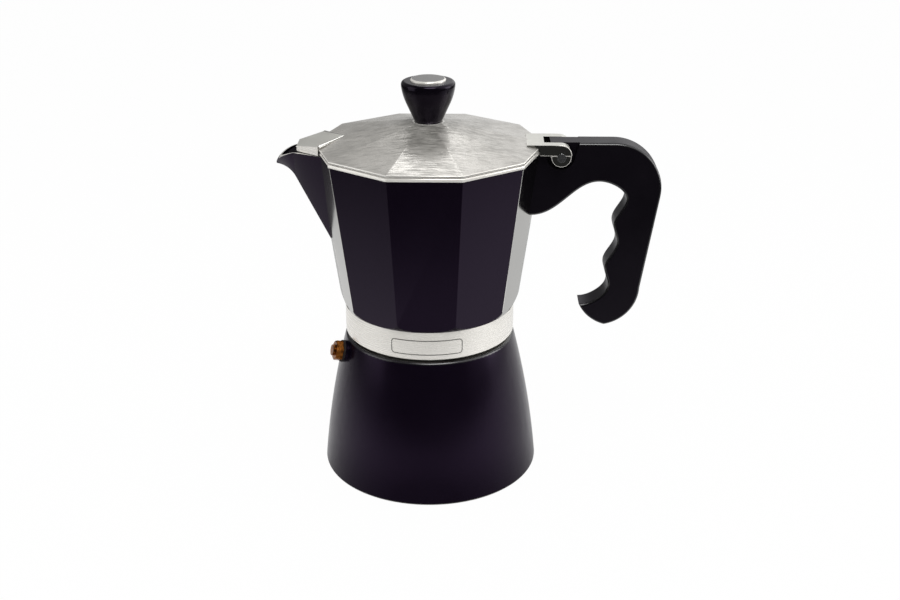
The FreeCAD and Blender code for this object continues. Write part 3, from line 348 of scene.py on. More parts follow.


# Polished aluminium, nearly white, with a few duller patches. On the lid's rim faces it is a plain
# polish; on the rounded edges of the paint, the spout cover and its beads its brightness is a painted
# highlight.
def polished_highlight_aluminium():
    material, tree, shader, place = new_finish("aluminium_polish_painted_highlight", Metallic=0.88)
    rub = add(tree, "ShaderNodeTexNoise", {"Vector": place}, {"Scale": every(5), "Detail": 4.0})
    tone = add(tree, "ShaderNodeMix", {"Factor": rub.outputs["Fac"]},
               {FIRST_COLOUR: linear("#e4e2dc"), SECOND_COLOUR: linear("#fbfaf6")}, data_type="RGBA")
    tree.links.new(tone.outputs[MIXED_COLOUR], shader.inputs["Base Color"])
    gloss = add(tree, "ShaderNodeMapRange", {"Value": rub.outputs["Fac"]},
                {**NOISE_SPAN, "To Min": 0.2, "To Max": 0.12})
    tree.links.new(gloss.outputs["Result"], shader.inputs["Roughness"])
    return material


# Raw die-cast aluminium inside the pot: duller and greyer, with a fine grain from the mould.
def raw_aluminium():
    material, tree, shader, place = new_finish("aluminium_die_cast_raw", Metallic=1.0)
    grain = add(tree, "ShaderNodeTexNoise", {"Vector": place}, {"Scale": every(0.6), "Detail": 4.0})
    cloud = add(tree, "ShaderNodeTexNoise", {"Vector": place}, {"Scale": every(14), "Detail": 5.0})
    tone = add(tree, "ShaderNodeMix", {"Factor": cloud.outputs["Fac"]},
               {FIRST_COLOUR: linear("#8f8d89"), SECOND_COLOUR: linear("#c2c0bb")}, data_type="RGBA")
    tree.links.new(tone.outputs[MIXED_COLOUR], shader.inputs["Base Color"])
    gloss = add(tree, "ShaderNodeMapRange", {"Value": cloud.outputs["Fac"]},
                {**NOISE_SPAN, "To Min": 0.38, "To Max": 0.52})
    tree.links.new(gloss.outputs["Result"], shader.inputs["Roughness"])
    bump = add(tree, "ShaderNodeBump", {"Height": grain.outputs["Fac"]},
               {"Strength": 0.3, "Distance": 0.04 * MM})
    tree.links.new(bump.outputs["Normal"], shader.inputs["Normal"])
    return material


# Moulded phenolic: black, satin, with the fine even texture of a blasted mould. A copy with full,
# white shine paints a highlight on the handle's rounded edges, and the knob comes from a smoother mould.
def moulded_phenolic(name, shine, tint, smoothest, roughest):
    material, tree, shader, place = new_finish(
        name, Specular_IOR_Level=shine, Specular_Tint=linear(tint))
    cloud = add(tree, "ShaderNodeTexNoise", {"Vector": place}, {"Scale": every(18), "Detail": 3.0})
    tone = add(tree, "ShaderNodeMix", {"Factor": cloud.outputs["Fac"]},
               {FIRST_COLOUR: linear("#060408"), SECOND_COLOUR: linear("#0b080e")}, data_type="RGBA")
    tree.links.new(tone.outputs[MIXED_COLOUR], shader.inputs["Base Color"])
    gloss = add(tree, "ShaderNodeMapRange", {"Value": cloud.outputs["Fac"]},
                {**NOISE_SPAN, "To Min": smoothest, "To Max": roughest})
    tree.links.new(gloss.outputs["Result"], shader.inputs["Roughness"])
    grain = add(tree, "ShaderNodeTexNoise", {"Vector": place}, {"Scale": every(0.5), "Detail": 2.0})
    bump = add(tree, "ShaderNodeBump", {"Height": grain.outputs["Fac"]},
               {"Strength": 0.12, "Distance": 0.03 * MM})
    tree.links.new(bump.outputs["Normal"], shader.inputs["Normal"])
    return material


# Aluminium faced on a lathe: mid grey and bright, with fine rings round the pot's axis.
def turned_aluminium():
    material, tree, shader, place = new_finish(
        "aluminium_turned_bright", Metallic=1.0, Base_Color=linear("#929190"))
    # tool marks are drawn 0.9 mm apart, coarser than they are
    rings = add(tree, "ShaderNodeTexWave", {"Vector": place},
                {"Scale": WAVE_PERIOD * every(0.9), "Distortion": 0.4, "Detail": 1.0},
                wave_type="RINGS", rings_direction="Z")
    gloss = add(tree, "ShaderNodeMapRange", {"Value": rings.outputs["Fac"]},
                {"To Min": 0.14, "To Max": 0.26})
    tree.links.new(gloss.outputs["Result"], shader.inputs["Roughness"])
    bump = add(tree, "ShaderNodeBump", {"Height": rings.outputs["Fac"]},
               {"Strength": 0.1, "Distance": 0.01 * MM})
    tree.links.new(bump.outputs["Normal"], shader.inputs["Normal"])
    return material


# Pressed aluminium sheet: even, slightly dull and faintly clouded.
def pressed_aluminium():
    material, tree, shader, place = new_finish("aluminium_pressed_sheet", Metallic=1.0)
    cloud = add(tree, "ShaderNodeTexNoise", {"Vector": place}, {"Scale": every(10), "Detail": 5.0})
    tone = add(tree, "ShaderNodeMix", {"Factor": cloud.outputs["Fac"]},
               {FIRST_COLOUR: linear("#b4b2ad"), SECOND_COLOUR: linear("#d2d0cb")}, data_type="RGBA")
    tree.links.new(tone.outputs[MIXED_COLOUR], shader.inputs["Base Color"])
    gloss = add(tree, "ShaderNodeMapRange", {"Value": cloud.outputs["Fac"]},
                {**NOISE_SPAN, "To Min": 0.26, "To Max": 0.4})
    tree.links.new(gloss.outputs["Result"], shader.inputs["Roughness"])
    return material


# Brass that sits over the flame: turned bright, then warmed to copper with brown heat stains.
def heated_brass():
    material, tree, shader, place = new_finish("brass_turned_heat_stained", Metallic=1.0)
    stain = add(tree, "ShaderNodeTexNoise", {"Vector": place},
                {"Scale": every(2.4), "Detail": 4.0, "Roughness": 0.6})
    depth = add(tree, "ShaderNodeMapRange", {"Value": stain.outputs["Fac"]}, STAIN_SPAN)
    tone = add(tree, "ShaderNodeMix", {"Factor": depth.outputs["Result"]},
               {FIRST_COLOUR: linear("#4c2610"), SECOND_COLOUR: linear("#b36f30")}, data_type="RGBA")
    tree.links.new(tone.outputs[MIXED_COLOUR], shader.inputs["Base Color"])
    gloss = add(tree, "ShaderNodeMapRange", {"Value": depth.outputs["Result"]},
                {"To Min": 0.36, "To Max": 0.2})
    tree.links.new(gloss.outputs["Result"], shader.inputs["Roughness"])
    return material


# Pressed sealing fibre: dark brown, dull, with a felted grain.
def sealing_fibre():
    material, tree, shader, place = new_finish("fibre_pressed_dark", Roughness=0.75)
    felt = add(tree, "ShaderNodeTexNoise", {"Vector": place}, {"Scale": every(0.4), "Detail": 4.0})
    tone = add(tree, "ShaderNodeMix", {"Factor": felt.outputs["Fac"]},
               {FIRST_COLOUR: linear("#15100f"), SECOND_COLOUR: linear("#2c2320")}, data_type="RGBA")
    tree.links.new(tone.outputs[MIXED_COLOUR], shader.inputs["Base Color"])
    bump = add(tree, "ShaderNodeBump", {"Height": felt.outputs["Fac"]},
               {"Strength": 0.4, "Distance": 0.05 * MM})
    tree.links.new(bump.outputs["Normal"], shader.inputs["Normal"])
    return material


# Food-grade silicone rubber: cream white, soft sheen, faintly clouded by coffee.
def pale_rubber():
    material, tree, shader, place = new_finish("silicone_moulded_pale", Roughness=0.55)
    cloud = add(tree, "ShaderNodeTexNoise", {"Vector": place}, {"Scale": every(8), "Detail": 4.0})
    tone = add(tree, "ShaderNodeMix", {"Factor": cloud.outputs["Fac"]},
               {FIRST_COLOUR: linear("#d9d0c0"), SECOND_COLOUR: linear("#efeae0")}, data_type="RGBA")
    tree.links.new(tone.outputs[MIXED_COLOUR], shader.inputs["Base Color"])
    return material


# Drawn steel wire and screws: cool grey, smooth, with faint draw marks.
def drawn_steel():
    material, tree, shader, place = new_finish("steel_drawn", Metallic=1.0)
    marks = add(tree, "ShaderNodeTexNoise", {"Vector": place}, {"Scale": every(0.8), "Detail": 3.0})
    tone = add(tree, "ShaderNodeMix", {"Factor": marks.outputs["Fac"]},
               {FIRST_COLOUR: linear("#a3a4a6"), SECOND_COLOUR: linear("#c8c9ca")}, data_type="RGBA")
    tree.links.new(tone.outputs[MIXED_COLOUR], shader.inputs["Base Color"])
    gloss = add(tree, "ShaderNodeMapRange", {"Value": marks.outputs["Fac"]},
                {**NOISE_SPAN, "To Min": 0.18, "To Max": 0.32})
    tree.links.new(gloss.outputs["Result"], shader.inputs["Roughness"])
    return material


ENAMEL = dark_enamel("enamel_sprayed_dark", 0.27, "#e3bcff")
# a copy with full, white shine: a painted highlight round the boiler's shoulder
HIGHLIGHT_ENAMEL = dark_enamel("enamel_painted_highlight", 1.0, "#ffffff")
# a copy with next to no shine: partly overspray, partly painted shade inside the spout
OVERSPRAY_AND_SHADE = dark_enamel("enamel_overspray_and_painted_shade", 0.02, "#ffffff")
BARE = bare_aluminium()
GROUND = ground_aluminium()
WIPED = wiped_aluminium()
SATIN = satin_aluminium()
POLISHED_HIGHLIGHT = polished_highlight_aluminium()
RAW = raw_aluminium()
PHENOLIC = moulded_phenolic("phenolic_moulded_black", 0.26, "#eadcf6", 0.36, 0.44)
# a copy with full, white shine: a painted highlight on the handle's rounded edges
HIGHLIGHT_PHENOLIC = moulded_phenolic("phenolic_edge_painted_highlight", 1.0, "#ffffff", 0.2, 0.26)
SMOOTH_PHENOLIC = moulded_phenolic("phenolic_moulded_smooth", 0.27, "#dcc8ee", 0.15, 0.2)
TURNED = turned_aluminium()
PRESSED = pressed_aluminium()
BRASS = heated_brass()
FIBRE = sealing_fibre()
RUBBER = pale_rubber()
STEEL = drawn_steel()

NODE_FINISHES = {
    "valve_body": BRASS, "valve_cap": BRASS, "valve_poppet": BRASS,
    "valve_washer": FIBRE, "valve_seal": FIBRE,
    "funnel": PRESSED, "funnel_filter": PRESSED, "filter_plate": PRESSED, "coffee_column": PRESSED,
    "gasket": RUBBER, "lid_knob": SMOOTH_PHENOLIC,
    "handle_screw": STEEL, "knob_screw": STEEL, "knob_washer": STEEL,
}
for node, finish in NODE_FINISHES.items():
    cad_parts[node].material_slots[0].material = finish


def work_on(piece):
    """Selects one piece alone and makes it active."""
    bpy.ops.object.select_all(action="DESELECT")
    piece.select_set(True)
    bpy.context.view_layer.objects.active = piece


def shell_of(node, name, *finishes):
    """A new piece on a node's shape, its loose triangles joined and its flat faces made whole."""
    piece = bpy.data.objects.new(name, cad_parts[node].data.copy())
    bpy.context.scene.collection.objects.link(piece)
    piece.data.materials.clear()
    for finish in finishes:
        piece.data.materials.append(finish)
    work_on(piece)
    bpy.ops.object.mode_set(mode="EDIT")
    bpy.ops.mesh.select_all(action="SELECT")
    bpy.ops.mesh.customdata_custom_splitnormals_clear()
    bpy.ops.mesh.remove_doubles(threshold=MERGE)
    bpy.ops.mesh.dissolve_limited(angle_limit=FLAT)
    bpy.ops.object.mode_set(mode="OBJECT")
    return piece


def edge_sides(mesh):
    """The faces on each side of every edge."""
    sides = {}
    for face in mesh.polygons:
        for key in face.edge_keys:
            sides.setdefault(key, []).append(face)
    return sides


def sticks_out(faces):
    """True where two faces meet in an edge that is sharp and points outwards."""
    if len(faces) != 2:
        return False
    one, other = faces
    outwards = (other.center - one.center).dot(one.normal) < 0
    return outwards and one.normal.angle(other.normal) > SHARP


def paint(piece, finish_of):
    """Gives each face the finish that belongs on it."""
    for face in piece.data.polygons:
        face.material_index = piece.data.materials.find(finish_of(face).name)


def soften(piece, width, wanted, finish=None, clamp=True):
    """Rounds the sharp edges that pass a test; without a finish, the rounding takes the one beside it."""
    work_on(piece)
    bpy.ops.object.mode_set(mode="EDIT")
    bpy.ops.mesh.select_mode(type="EDGE")
    bpy.ops.mesh.select_all(action="DESELECT")
    bpy.ops.object.mode_set(mode="OBJECT")
    mesh = piece.data
    sides = edge_sides(mesh)
    for edge in mesh.edges:
        ends = [mesh.vertices[k].co for k in edge.vertices]
        edge.select = sticks_out(sides.get(edge.key, [])) and wanted(*ends)
    slot = mesh.materials.find(finish.name) if finish else -1
    bpy.ops.object.mode_set(mode="EDIT")
    bpy.ops.mesh.bevel(
        offset=width, segments=EDGE_STEPS, affect="EDGES", clamp_overlap=clamp, material=slot)
    bpy.ops.object.mode_set(mode="OBJECT")


def smooth(piece):
    """Takes out faces without area, then gives smooth shading that leaves large flat faces flat."""
    work_on(piece)
    bpy.ops.object.mode_set(mode="EDIT")
    bpy.ops.mesh.select_all(action="SELECT")
    bpy.ops.mesh.remove_doubles(threshold=MERGE)
    bpy.ops.mesh.dissolve_degenerate(threshold=SLIVER)
    bpy.ops.object.mode_set(mode="OBJECT")
    bpy.ops.object.shade_smooth_by_angle(angle=SMOOTH)
    even = piece.modifiers.new("even", "WEIGHTED_NORMAL")
    even.keep_sharp = True
    bpy.ops.object.modifier_apply(modifier=even.name)


def corner_radius(height):
    """How far the collector's corners stand from the axis at a height."""
    rise = (height - RING_TOP) / (RIM - RING_TOP)
    return BASE_CORNER + (RIM_CORNER - BASE_CORNER) * rise


def facet_depth(place, azimuth):
    """How far a place stands outside the collector's facet of that azimuth."""
    turn = math.radians(azimuth)
    reach = place.x * math.cos(turn) + abs(place.y) * math.sin(turn)
    return reach - corner_radius(place.z) * FLAT_SHARE


def azimuth_of(place):
    """Degrees round the axis from the handle to a place, the same on both sides."""
    return math.degrees(math.atan2(abs(place.y), place.x))


def spout_face_finish(face):
    """Ground lip, enamel outside, and inside a dull copy that is partly overspray and partly painted
    shade.
    """
    if face.normal.z > HALF_TURNED:
        return GROUND
    return OVERSPRAY_AND_SHADE if face.center.y * face.normal.y < 0 else ENAMEL


def facet_face_finish(face, outward):
    """Raw inside; outside, enamel between the paint's edges and bare metal beyond them."""
    azimuth = azimuth_of(face.center)
    facet = (math.floor(azimuth / FACET_STEP) + 0.5) * FACET_STEP
    if not outward or facet_depth(face.center, facet) < RING_RADIUS - BASE_CORNER - WALL_SKIN:
        return RAW
    return ENAMEL if PAINT_EDGES[0] < azimuth < PAINT_EDGES[1] else BARE


def collector_face_finish(face):
    """Ground ring and rim, with the spout and the facets between them."""
    place, normal = face.center, face.normal
    outward = place.xy.dot(normal.xy) > 0
    if place.z < RING_TOP:
        on_ring = place.xy.length > RING_RADIUS - WALL_SKIN
        return GROUND if on_ring and (outward or normal.z > UPRIGHT) else RAW
    above_foot = place.x < 0 and place.z > SPOUT_FOOT
    on_spout = above_foot and facet_depth(place, SPOUT_FACET) > SPOUT_SKIN
    if on_spout and place.x < SPOUT_MOUTH:
        return spout_face_finish(face)
    if on_spout and outward:
        return ENAMEL
    if place.z > BAND_BOTTOM - MERGE:
        return GROUND
    return facet_face_finish(face, outward)


def outside_collector(start, end):
    """Long edges of the facets, the rim and the spout, on the outside."""
    if (end - start).length < LONG_EDGE:
        return False
    for place in (start, end):
        inside = place.xy.length < corner_radius(place.z) * FLAT_SHARE - WALL_SKIN
        if place.z < RING_TOP or inside:
            return False
    return True


def at_paint_edge(start, end):
    """The corners where paint ends, whose ridge carries a painted highlight."""
    for place in (start, end):
        if min(abs(azimuth_of(place) - edge) for edge in PAINT_EDGES) > PAINT_EDGE_SLACK:
            return False
    return outside_collector(start, end)


def at_rim(start, end):
    """The upper edge of the rim, which the lid closes on."""
    return min(start.z, end.z) > RIM - MERGE and outside_collector(start, end)


def cast_edge(start, end):
    """The other edges outside, which keep the finish beside them."""
    set_apart = at_paint_edge(start, end) or at_rim(start, end)
    return outside_collector(start, end) and not set_apart


def collector_shell():
    """The upper body, cut along the edges of its paint so that each face has one finish."""
    piece = shell_of("collector", "collector_shell", BARE, ENAMEL, RAW, GROUND, POLISHED_HIGHLIGHT, OVERSPRAY_AND_SHADE)
    bpy.ops.object.mode_set(mode="EDIT")
    for edge in PAINT_EDGES:
        for turn in (math.radians(edge), math.radians(-edge)):
            bpy.ops.mesh.select_all(action="SELECT")
            bpy.ops.mesh.bisect(plane_co=(0, 0, 0), plane_no=(-math.sin(turn), math.cos(turn), 0))
    bpy.ops.object.mode_set(mode="OBJECT")
    paint(piece, collector_face_finish)
    # the ridges where the paint ends take the nearly white finish as a painted highlight
    soften(piece, HIGHLIGHT_BEVEL, at_paint_edge, POLISHED_HIGHLIGHT)
    soften(piece, RIM_EDGE, at_rim, GROUND)
    soften(piece, CAST_EDGE, cast_edge)
    smooth(piece)
    return piece


def boiler_face_finish(face):
    """Enamel outside, a brighter-reflecting copy round the shoulder as a painted highlight, and raw
    casting on the neck, inside and underneath.
    """
    place = face.center
    share = place.z / SHOULDER
    wall_middle = BASE_RADIUS + (RING_RADIUS - BASE_RADIUS) * share - HALF_WALL
    if place.xy.length < wall_middle or not PAINT_LOW < place.z < SHOULDER:
        return RAW
    return HIGHLIGHT_ENAMEL if place.z > SHOULDER_FOOT else ENAMEL


def boiler_shell():
    """The water tank."""
    piece = shell_of("boiler", "boiler_shell", ENAMEL, RAW, HIGHLIGHT_ENAMEL)
    paint(piece, boiler_face_finish)
    smooth(piece)
    return piece


def handle_face_finish(face):
    """A brighter-reflecting copy on the rounded edges as a painted highlight, as moulded elsewhere."""
    return HIGHLIGHT_PHENOLIC if EDGE_TURN[0] < abs(face.normal.y) < EDGE_TURN[1] else PHENOLIC


def handle_shell():
    """The grip, with a painted highlight on its rounded edges."""
    piece = shell_of("handle", "handle_shell", PHENOLIC, HIGHLIGHT_PHENOLIC)
    paint(piece, handle_face_finish)
    smooth(piece)
    return piece


def lid_height(place):
    """Height of the lid's facets at a place seen from above."""
    slope = (LID_TOP - LID_EDGE_TOP) / (LID_CORNER - LID_TOP_RADIUS)
    step = 2 * math.pi / FACETS
    off_middle = math.atan2(place.y, place.x) % step - step / 2
    corner = place.xy.length * math.cos(off_middle) / math.cos(step / 2)
    return LID_EDGE_TOP + slope * (LID_CORNER - corner)


def under_lid(place):
    """True below the lid's outer skin."""
    return place.x < EAR_START and place.z < lid_height(place) - LID_SKIN


def on_cover(place):
    """True where the spout cover stands above the lid's facets."""
    return place.x < COVER_START and place.z > lid_height(place) + COVER_SKIN


def lid_face_finish(face):
    """Wiped facets, satin tops, raw underside, polished rim, bare sides of the ears, ground cover sides.
    """
    place = face.center
    if under_lid(place) and face.normal.z < UPRIGHT:
        return RAW
    on_ear = place.x > EAR_START
    if abs(face.normal.z) >= UPRIGHT:
        return SATIN if on_ear or on_cover(place) else WIPED
    if on_ear:
        return BARE
    beyond_rim = place.x < COVER_START and lid_height(place) < LID_EDGE_TOP - COVER_SKIN
    return GROUND if beyond_rim else POLISHED_HIGHLIGHT


def outside_lid(start, end):
    """Long edges on the outside of the lid, without its ears and cover."""
    middle = (start + end) / 2
    if middle.x > EAR_START or on_cover(middle) or (end - start).length < LONG_EDGE:
        return False
    return not under_lid(start) and not under_lid(end)


def lid_crease(start, end):
    """The creases that rise between the facets."""
    return abs(end.z - start.z) > LONG_EDGE and outside_lid(start, end)


def front_crease(start, end):
    """The creases beside the front and the back facet, which cloths rub roundest."""
    return lid_crease(start, end) and max(abs(start.x), abs(end.x)) < abs(start.y + end.y) / 2


def side_crease(start, end):
    """The other creases, which stay crisper."""
    return lid_crease(start, end) and not front_crease(start, end)


def lid_rim(start, end):
    """The level edges round the rim."""
    return abs(end.z - start.z) < MERGE and outside_lid(start, end)


def cover_ridge(start, end):
    """The ridges along the top of the spout cover."""
    return on_cover((start + end) / 2)


def ear_edge(start, end):
    """The outlines of the hinge ears' outer faces."""
    return min(start.x, end.x) > EAR_START and min(abs(start.y), abs(end.y)) > EAR_FACE - MERGE


def knuckle_edge(start, end):
    """The outlines of the round knuckles, which lie behind the ears' faces."""
    off_face = max(abs(abs(place.y) - KNUCKLE_FACE) for place in (start, end))
    return min(start.x, end.x) > EAR_START and off_face < MERGE


def lid_shell():
    """The lid with its spout cover and hinge ears."""
    piece = shell_of("lid", "lid_shell", WIPED, POLISHED_HIGHLIGHT, RAW, SATIN, BARE, GROUND)
    paint(piece, lid_face_finish)
    soften(piece, LID_EDGE, lid_rim, GROUND)
    soften(piece, CREASE_EDGE, side_crease)
    soften(piece, WORN_CREASE_EDGE, front_crease)
    # the cover's ridges take the nearly white finish as a painted highlight
    soften(piece, COVER_EDGE, cover_ridge, POLISHED_HIGHLIGHT)
    soften(piece, EAR_EDGE, ear_edge, GROUND, clamp=False)
    soften(piece, EAR_EDGE, knuckle_edge, GROUND, clamp=False)
    smooth(piece)
    return piece


def cover_bead():
    """The bead along one edge of the spout cover, thinning towards its root, nearly white as a painted
    highlight.
    """
    along = BEAD_ROOT - BEAD_END
    bpy.ops.object.select_all(action="DESELECT")
    bpy.ops.mesh.primitive_cone_add(
        vertices=BEAD_SIDES, radius1=BEAD_END_RADIUS, radius2=BEAD_ROOT_RADIUS, depth=along.length,
        location=(BEAD_ROOT + BEAD_END) / 2, rotation=along.to_track_quat("Z", "Y").to_euler())
    piece = bpy.context.object
    piece.name = "cover_bead_front"
    bpy.ops.object.transform_apply(location=True, rotation=True, scale=True)
    piece.data.materials.append(POLISHED_HIGHLIGHT)
    soften(piece, BEAD_EDGE, lambda start, end: (end - start).length < BEAD_ROOT_RADIUS)
    smooth(piece)
    return piece


def mirrored_bead(front):
    """The same bead on the far edge of the cover."""
    piece = bpy.data.objects.new("cover_bead_back", front.data.copy())
    bpy.context.scene.collection.objects.link(piece)
    work_on(piece)
    bpy.ops.object.mode_set(mode="EDIT")
    bpy.ops.mesh.select_all(action="SELECT")
    bpy.ops.transform.resize(value=(1, -1, 1), center_override=(0, 0, 0))
    bpy.ops.mesh.normals_make_consistent(inside=False)
    bpy.ops.object.mode_set(mode="OBJECT")
    return piece


def knob_disc():
    """The metal disc in the knob: a faced top and a bright rounded edge."""
    piece = shell_of("knob_insert", "knob_disc", TURNED, GROUND)
    paint(piece, lambda face: TURNED if face.normal.z > DISC_FACED else GROUND)
    soften(piece, DISC_EDGE, lambda start, end: True, GROUND)
    smooth(piece)
    return piece


def valve_coil():
    """The valve's spring."""
    piece = shell_of("valve_spring", "valve_coil", STEEL)
    smooth(piece)
    return piece


def press_coil(coil):
    """Gives the valve's spring a mesh of its own."""
    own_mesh(coil)


def select_faces(piece, wanted):
    """Selects the faces that pass a test, and leaves the piece in edit mode."""
    bpy.ops.object.mode_set(mode="EDIT")
    bpy.ops.mesh.select_mode(type="FACE")
    bpy.ops.mesh.select_all(action="DESELECT")
    bpy.ops.object.mode_set(mode="OBJECT")
    for face in piece.data.polygons:
        face.select = wanted(face)
    bpy.ops.object.mode_set(mode="EDIT")


def hinge_rivet():
    """Pin with a dished, rounded head at each end."""
    bpy.ops.object.select_all(action="DESELECT")
    bpy.ops.mesh.primitive_cylinder_add(
        vertices=PIN_SIDES, radius=PIN_RADIUS, depth=2 * PIN_FACE,
        location=PIN_PLACE, rotation=(math.pi / 2, 0, 0))
    piece = bpy.context.object
    piece.name = "hinge_rivet"
    bpy.ops.object.transform_apply(location=True, rotation=True, scale=True)
    piece.data.materials.append(STEEL)
    select_faces(piece, lambda face: abs(face.normal.y) > HALF_TURNED)
    grow = PIN_HEAD_RADIUS / PIN_RADIUS
    bpy.ops.mesh.extrude_region_move()
    bpy.ops.transform.resize(value=(grow, 1, grow), center_override=PIN_PLACE)
    bpy.ops.mesh.extrude_region_shrink_fatten(TRANSFORM_OT_shrink_fatten={"value": PIN_HEAD_HEIGHT})
    bpy.ops.mesh.inset(thickness=PIN_DISH_RIM, depth=-PIN_DISH_DEPTH)
    bpy.ops.object.mode_set(mode="OBJECT")
    soften(piece, PIN_HEAD_EDGE, lambda start, end: min(abs(start.y), abs(end.y)) > PIN_FACE)
    smooth(piece)
    return piece


def flat_frame():
    """The plate's frame while it is flat: a rounded outline, cut across so that it can bend."""
    bpy.ops.object.select_all(action="DESELECT")
    bpy.ops.mesh.primitive_plane_add(size=PLATE_HEIGHT, rotation=(math.pi / 2, 0, 0))
    piece = bpy.context.object
    piece.name = "ring_plate"
    piece.scale.x = PLATE_WIDTH / PLATE_HEIGHT
    bpy.ops.object.transform_apply(location=True, rotation=True, scale=True)
    piece.data.materials.append(BARE)
    bpy.ops.object.mode_set(mode="EDIT")
    bpy.ops.mesh.select_mode(type="VERT")
    bpy.ops.mesh.select_all(action="SELECT")
    bpy.ops.mesh.bevel(offset=PLATE_CORNER, segments=PLATE_CORNER_STEPS, affect="VERTICES")
    bpy.ops.mesh.select_all(action="SELECT")
    bpy.ops.mesh.inset(thickness=PLATE_FRAME)
    bpy.ops.mesh.delete(type="FACE")
    for step in range(1, PLATE_STEPS):
        across = (step / PLATE_STEPS - 0.5) * PLATE_WIDTH
        bpy.ops.mesh.select_all(action="SELECT")
        bpy.ops.mesh.bisect(plane_co=(across, 0, 0), plane_no=(1, 0, 0))
    bpy.ops.object.mode_set(mode="OBJECT")
    return piece


def ring_plate():
    """Bare plate: a fine rounded frame that stands just proud of the ring and bends with it."""
    piece = flat_frame()
    thick = piece.modifiers.new("thick", "SOLIDIFY")
    thick.thickness = 2 * PLATE_PROUD
    thick.offset = 0
    bpy.ops.object.modifier_apply(modifier=thick.name)
    round_ring = piece.modifiers.new("round_ring", "SIMPLE_DEFORM")
    round_ring.deform_method = "BEND"
    round_ring.deform_axis = "Z"
    round_ring.angle = PLATE_WIDTH / RING_RADIUS
    bpy.ops.object.modifier_apply(modifier=round_ring.name)
    piece.location = (0, -RING_RADIUS, PLATE_RISE)
    bpy.ops.object.transform_apply(location=True, rotation=True, scale=True)
    smooth(piece)
    return piece


PIECES = (
    (collector_shell, "collector", "collector_cast", ["collector"]),
    (boiler_shell, "boiler", "boiler_enamel", ["boiler"]),
    (handle_shell, "collector", "handle_plastic", ["handle"]),
    (lid_shell, "lid", "lid_cast", ["lid"]),
    (cover_bead, "lid", "lid_cast", []),
    (knob_disc, "lid", "knob_metal", ["knob_insert"]),
    (valve_coil, "boiler", "fastener_steel", ["valve_spring"]),
    (hinge_rivet, "collector", "fastener_steel", ["hinge_pin"]),
    (ring_plate, "collector", "collector_cast", []),
)
for make, body, slot, nodes in PIECES:
    piece = make()
    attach(piece, body)
    if nodes:
        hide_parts(*nodes)
press_coil(bpy.data.objects["valve_coil"])
far_bead = mirrored_bead(bpy.data.objects["cover_bead_front"])
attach(far_bead, "lid")


def eye_rays(tree):
    """What each ray is, and whether the eye sees what it meets, straight or through glass."""
    rays = add(tree, "ShaderNodeLightPath").outputs
    seen = add(tree, "ShaderNodeMath",
               {0: rays["Is Camera Ray"], 1: rays["Is Transmission Ray"]}, operation="MAXIMUM")
    return rays, seen.outputs["Value"]


# White paper sweep: plain white to the eye, with a faint soft shadow, and in reflections a sheet
# that ends a little way in front of the pot.
def white_paper():
    material = bpy.data.materials.new("paper_white")
    material.use_nodes = True
    tree = material.node_tree
    tree.nodes.clear()
    rays, seen = eye_rays(tree)
    place = add(tree, "ShaderNodeTexCoord").outputs["Object"]
    spread = add(tree, "ShaderNodeVectorMath", {0: place},
                 {1: (PAPER_SPREAD, 1.0, 0.0), 2: (-PAPER_SHIFT * PAPER_SPREAD, 0.0, 0.0)},
                 operation="MULTIPLY_ADD")
    # behind the pot only the distance to the side counts
    in_front = add(tree, "ShaderNodeVectorMath", {0: spread.outputs["Vector"]},
                   {1: (FLOOR_SIZE, 0.0, 0.0)}, operation="MINIMUM")
    away = add(tree, "ShaderNodeVectorMath", {0: in_front.outputs["Vector"]}, operation="LENGTH")
    sheet = add(tree, "ShaderNodeMapRange", {"Value": away.outputs["Value"]},
                {"From Min": PAPER_NEAR, "From Max": PAPER_FAR,
                 "To Min": PAPER_SHINE, "To Max": DARK_SIDE})
    round_foot = add(tree, "ShaderNodeVectorMath", {0: place}, {1: SHADE_PLACE}, operation="DISTANCE")
    shade = add(tree, "ShaderNodeMapRange", {"Value": round_foot.outputs["Value"]},
                {"From Min": SHADE_NEAR, "From Max": SHADE_FAR, "To Min": SHADE_SHARE, "To Max": 1.0})
    shaded = add(tree, "ShaderNodeMath", {0: sheet.outputs["Result"], 1: shade.outputs["Result"]},
                 operation="MULTIPLY")
    bright = add(tree, "ShaderNodeMath", {0: shaded.outputs["Value"], 1: seen}, operation="MAXIMUM")
    white = add(tree, "ShaderNodeMath", {0: seen}, {1: PAPER_WHITE}, operation="MULTIPLY")
    share = add(tree, "ShaderNodeMath", {0: white.outputs["Value"], 1: rays["Is Glossy Ray"]},
                operation="MAXIMUM")
    matt = add(tree, "ShaderNodeBsdfDiffuse", values={"Color": linear("#f4f4f4")})
    glow = add(tree, "ShaderNodeEmission", {"Strength": bright.outputs["Value"]})
    mix = add(tree, "ShaderNodeMixShader",
              {"Fac": share.outputs["Value"], 1: matt.outputs["BSDF"], 2: glow.outputs["Emission"]})
    add(tree, "ShaderNodeOutputMaterial", {"Surface": mix.outputs["Shader"]})
    return material


def paper_floor():
    """The sheet that the pot stands on."""
    bpy.ops.object.select_all(action="DESELECT")
    bpy.ops.mesh.primitive_plane_add(size=FLOOR_SIZE)
    floor = bpy.context.object
    floor.name = "floor"
    floor.data.materials.append(white_paper())


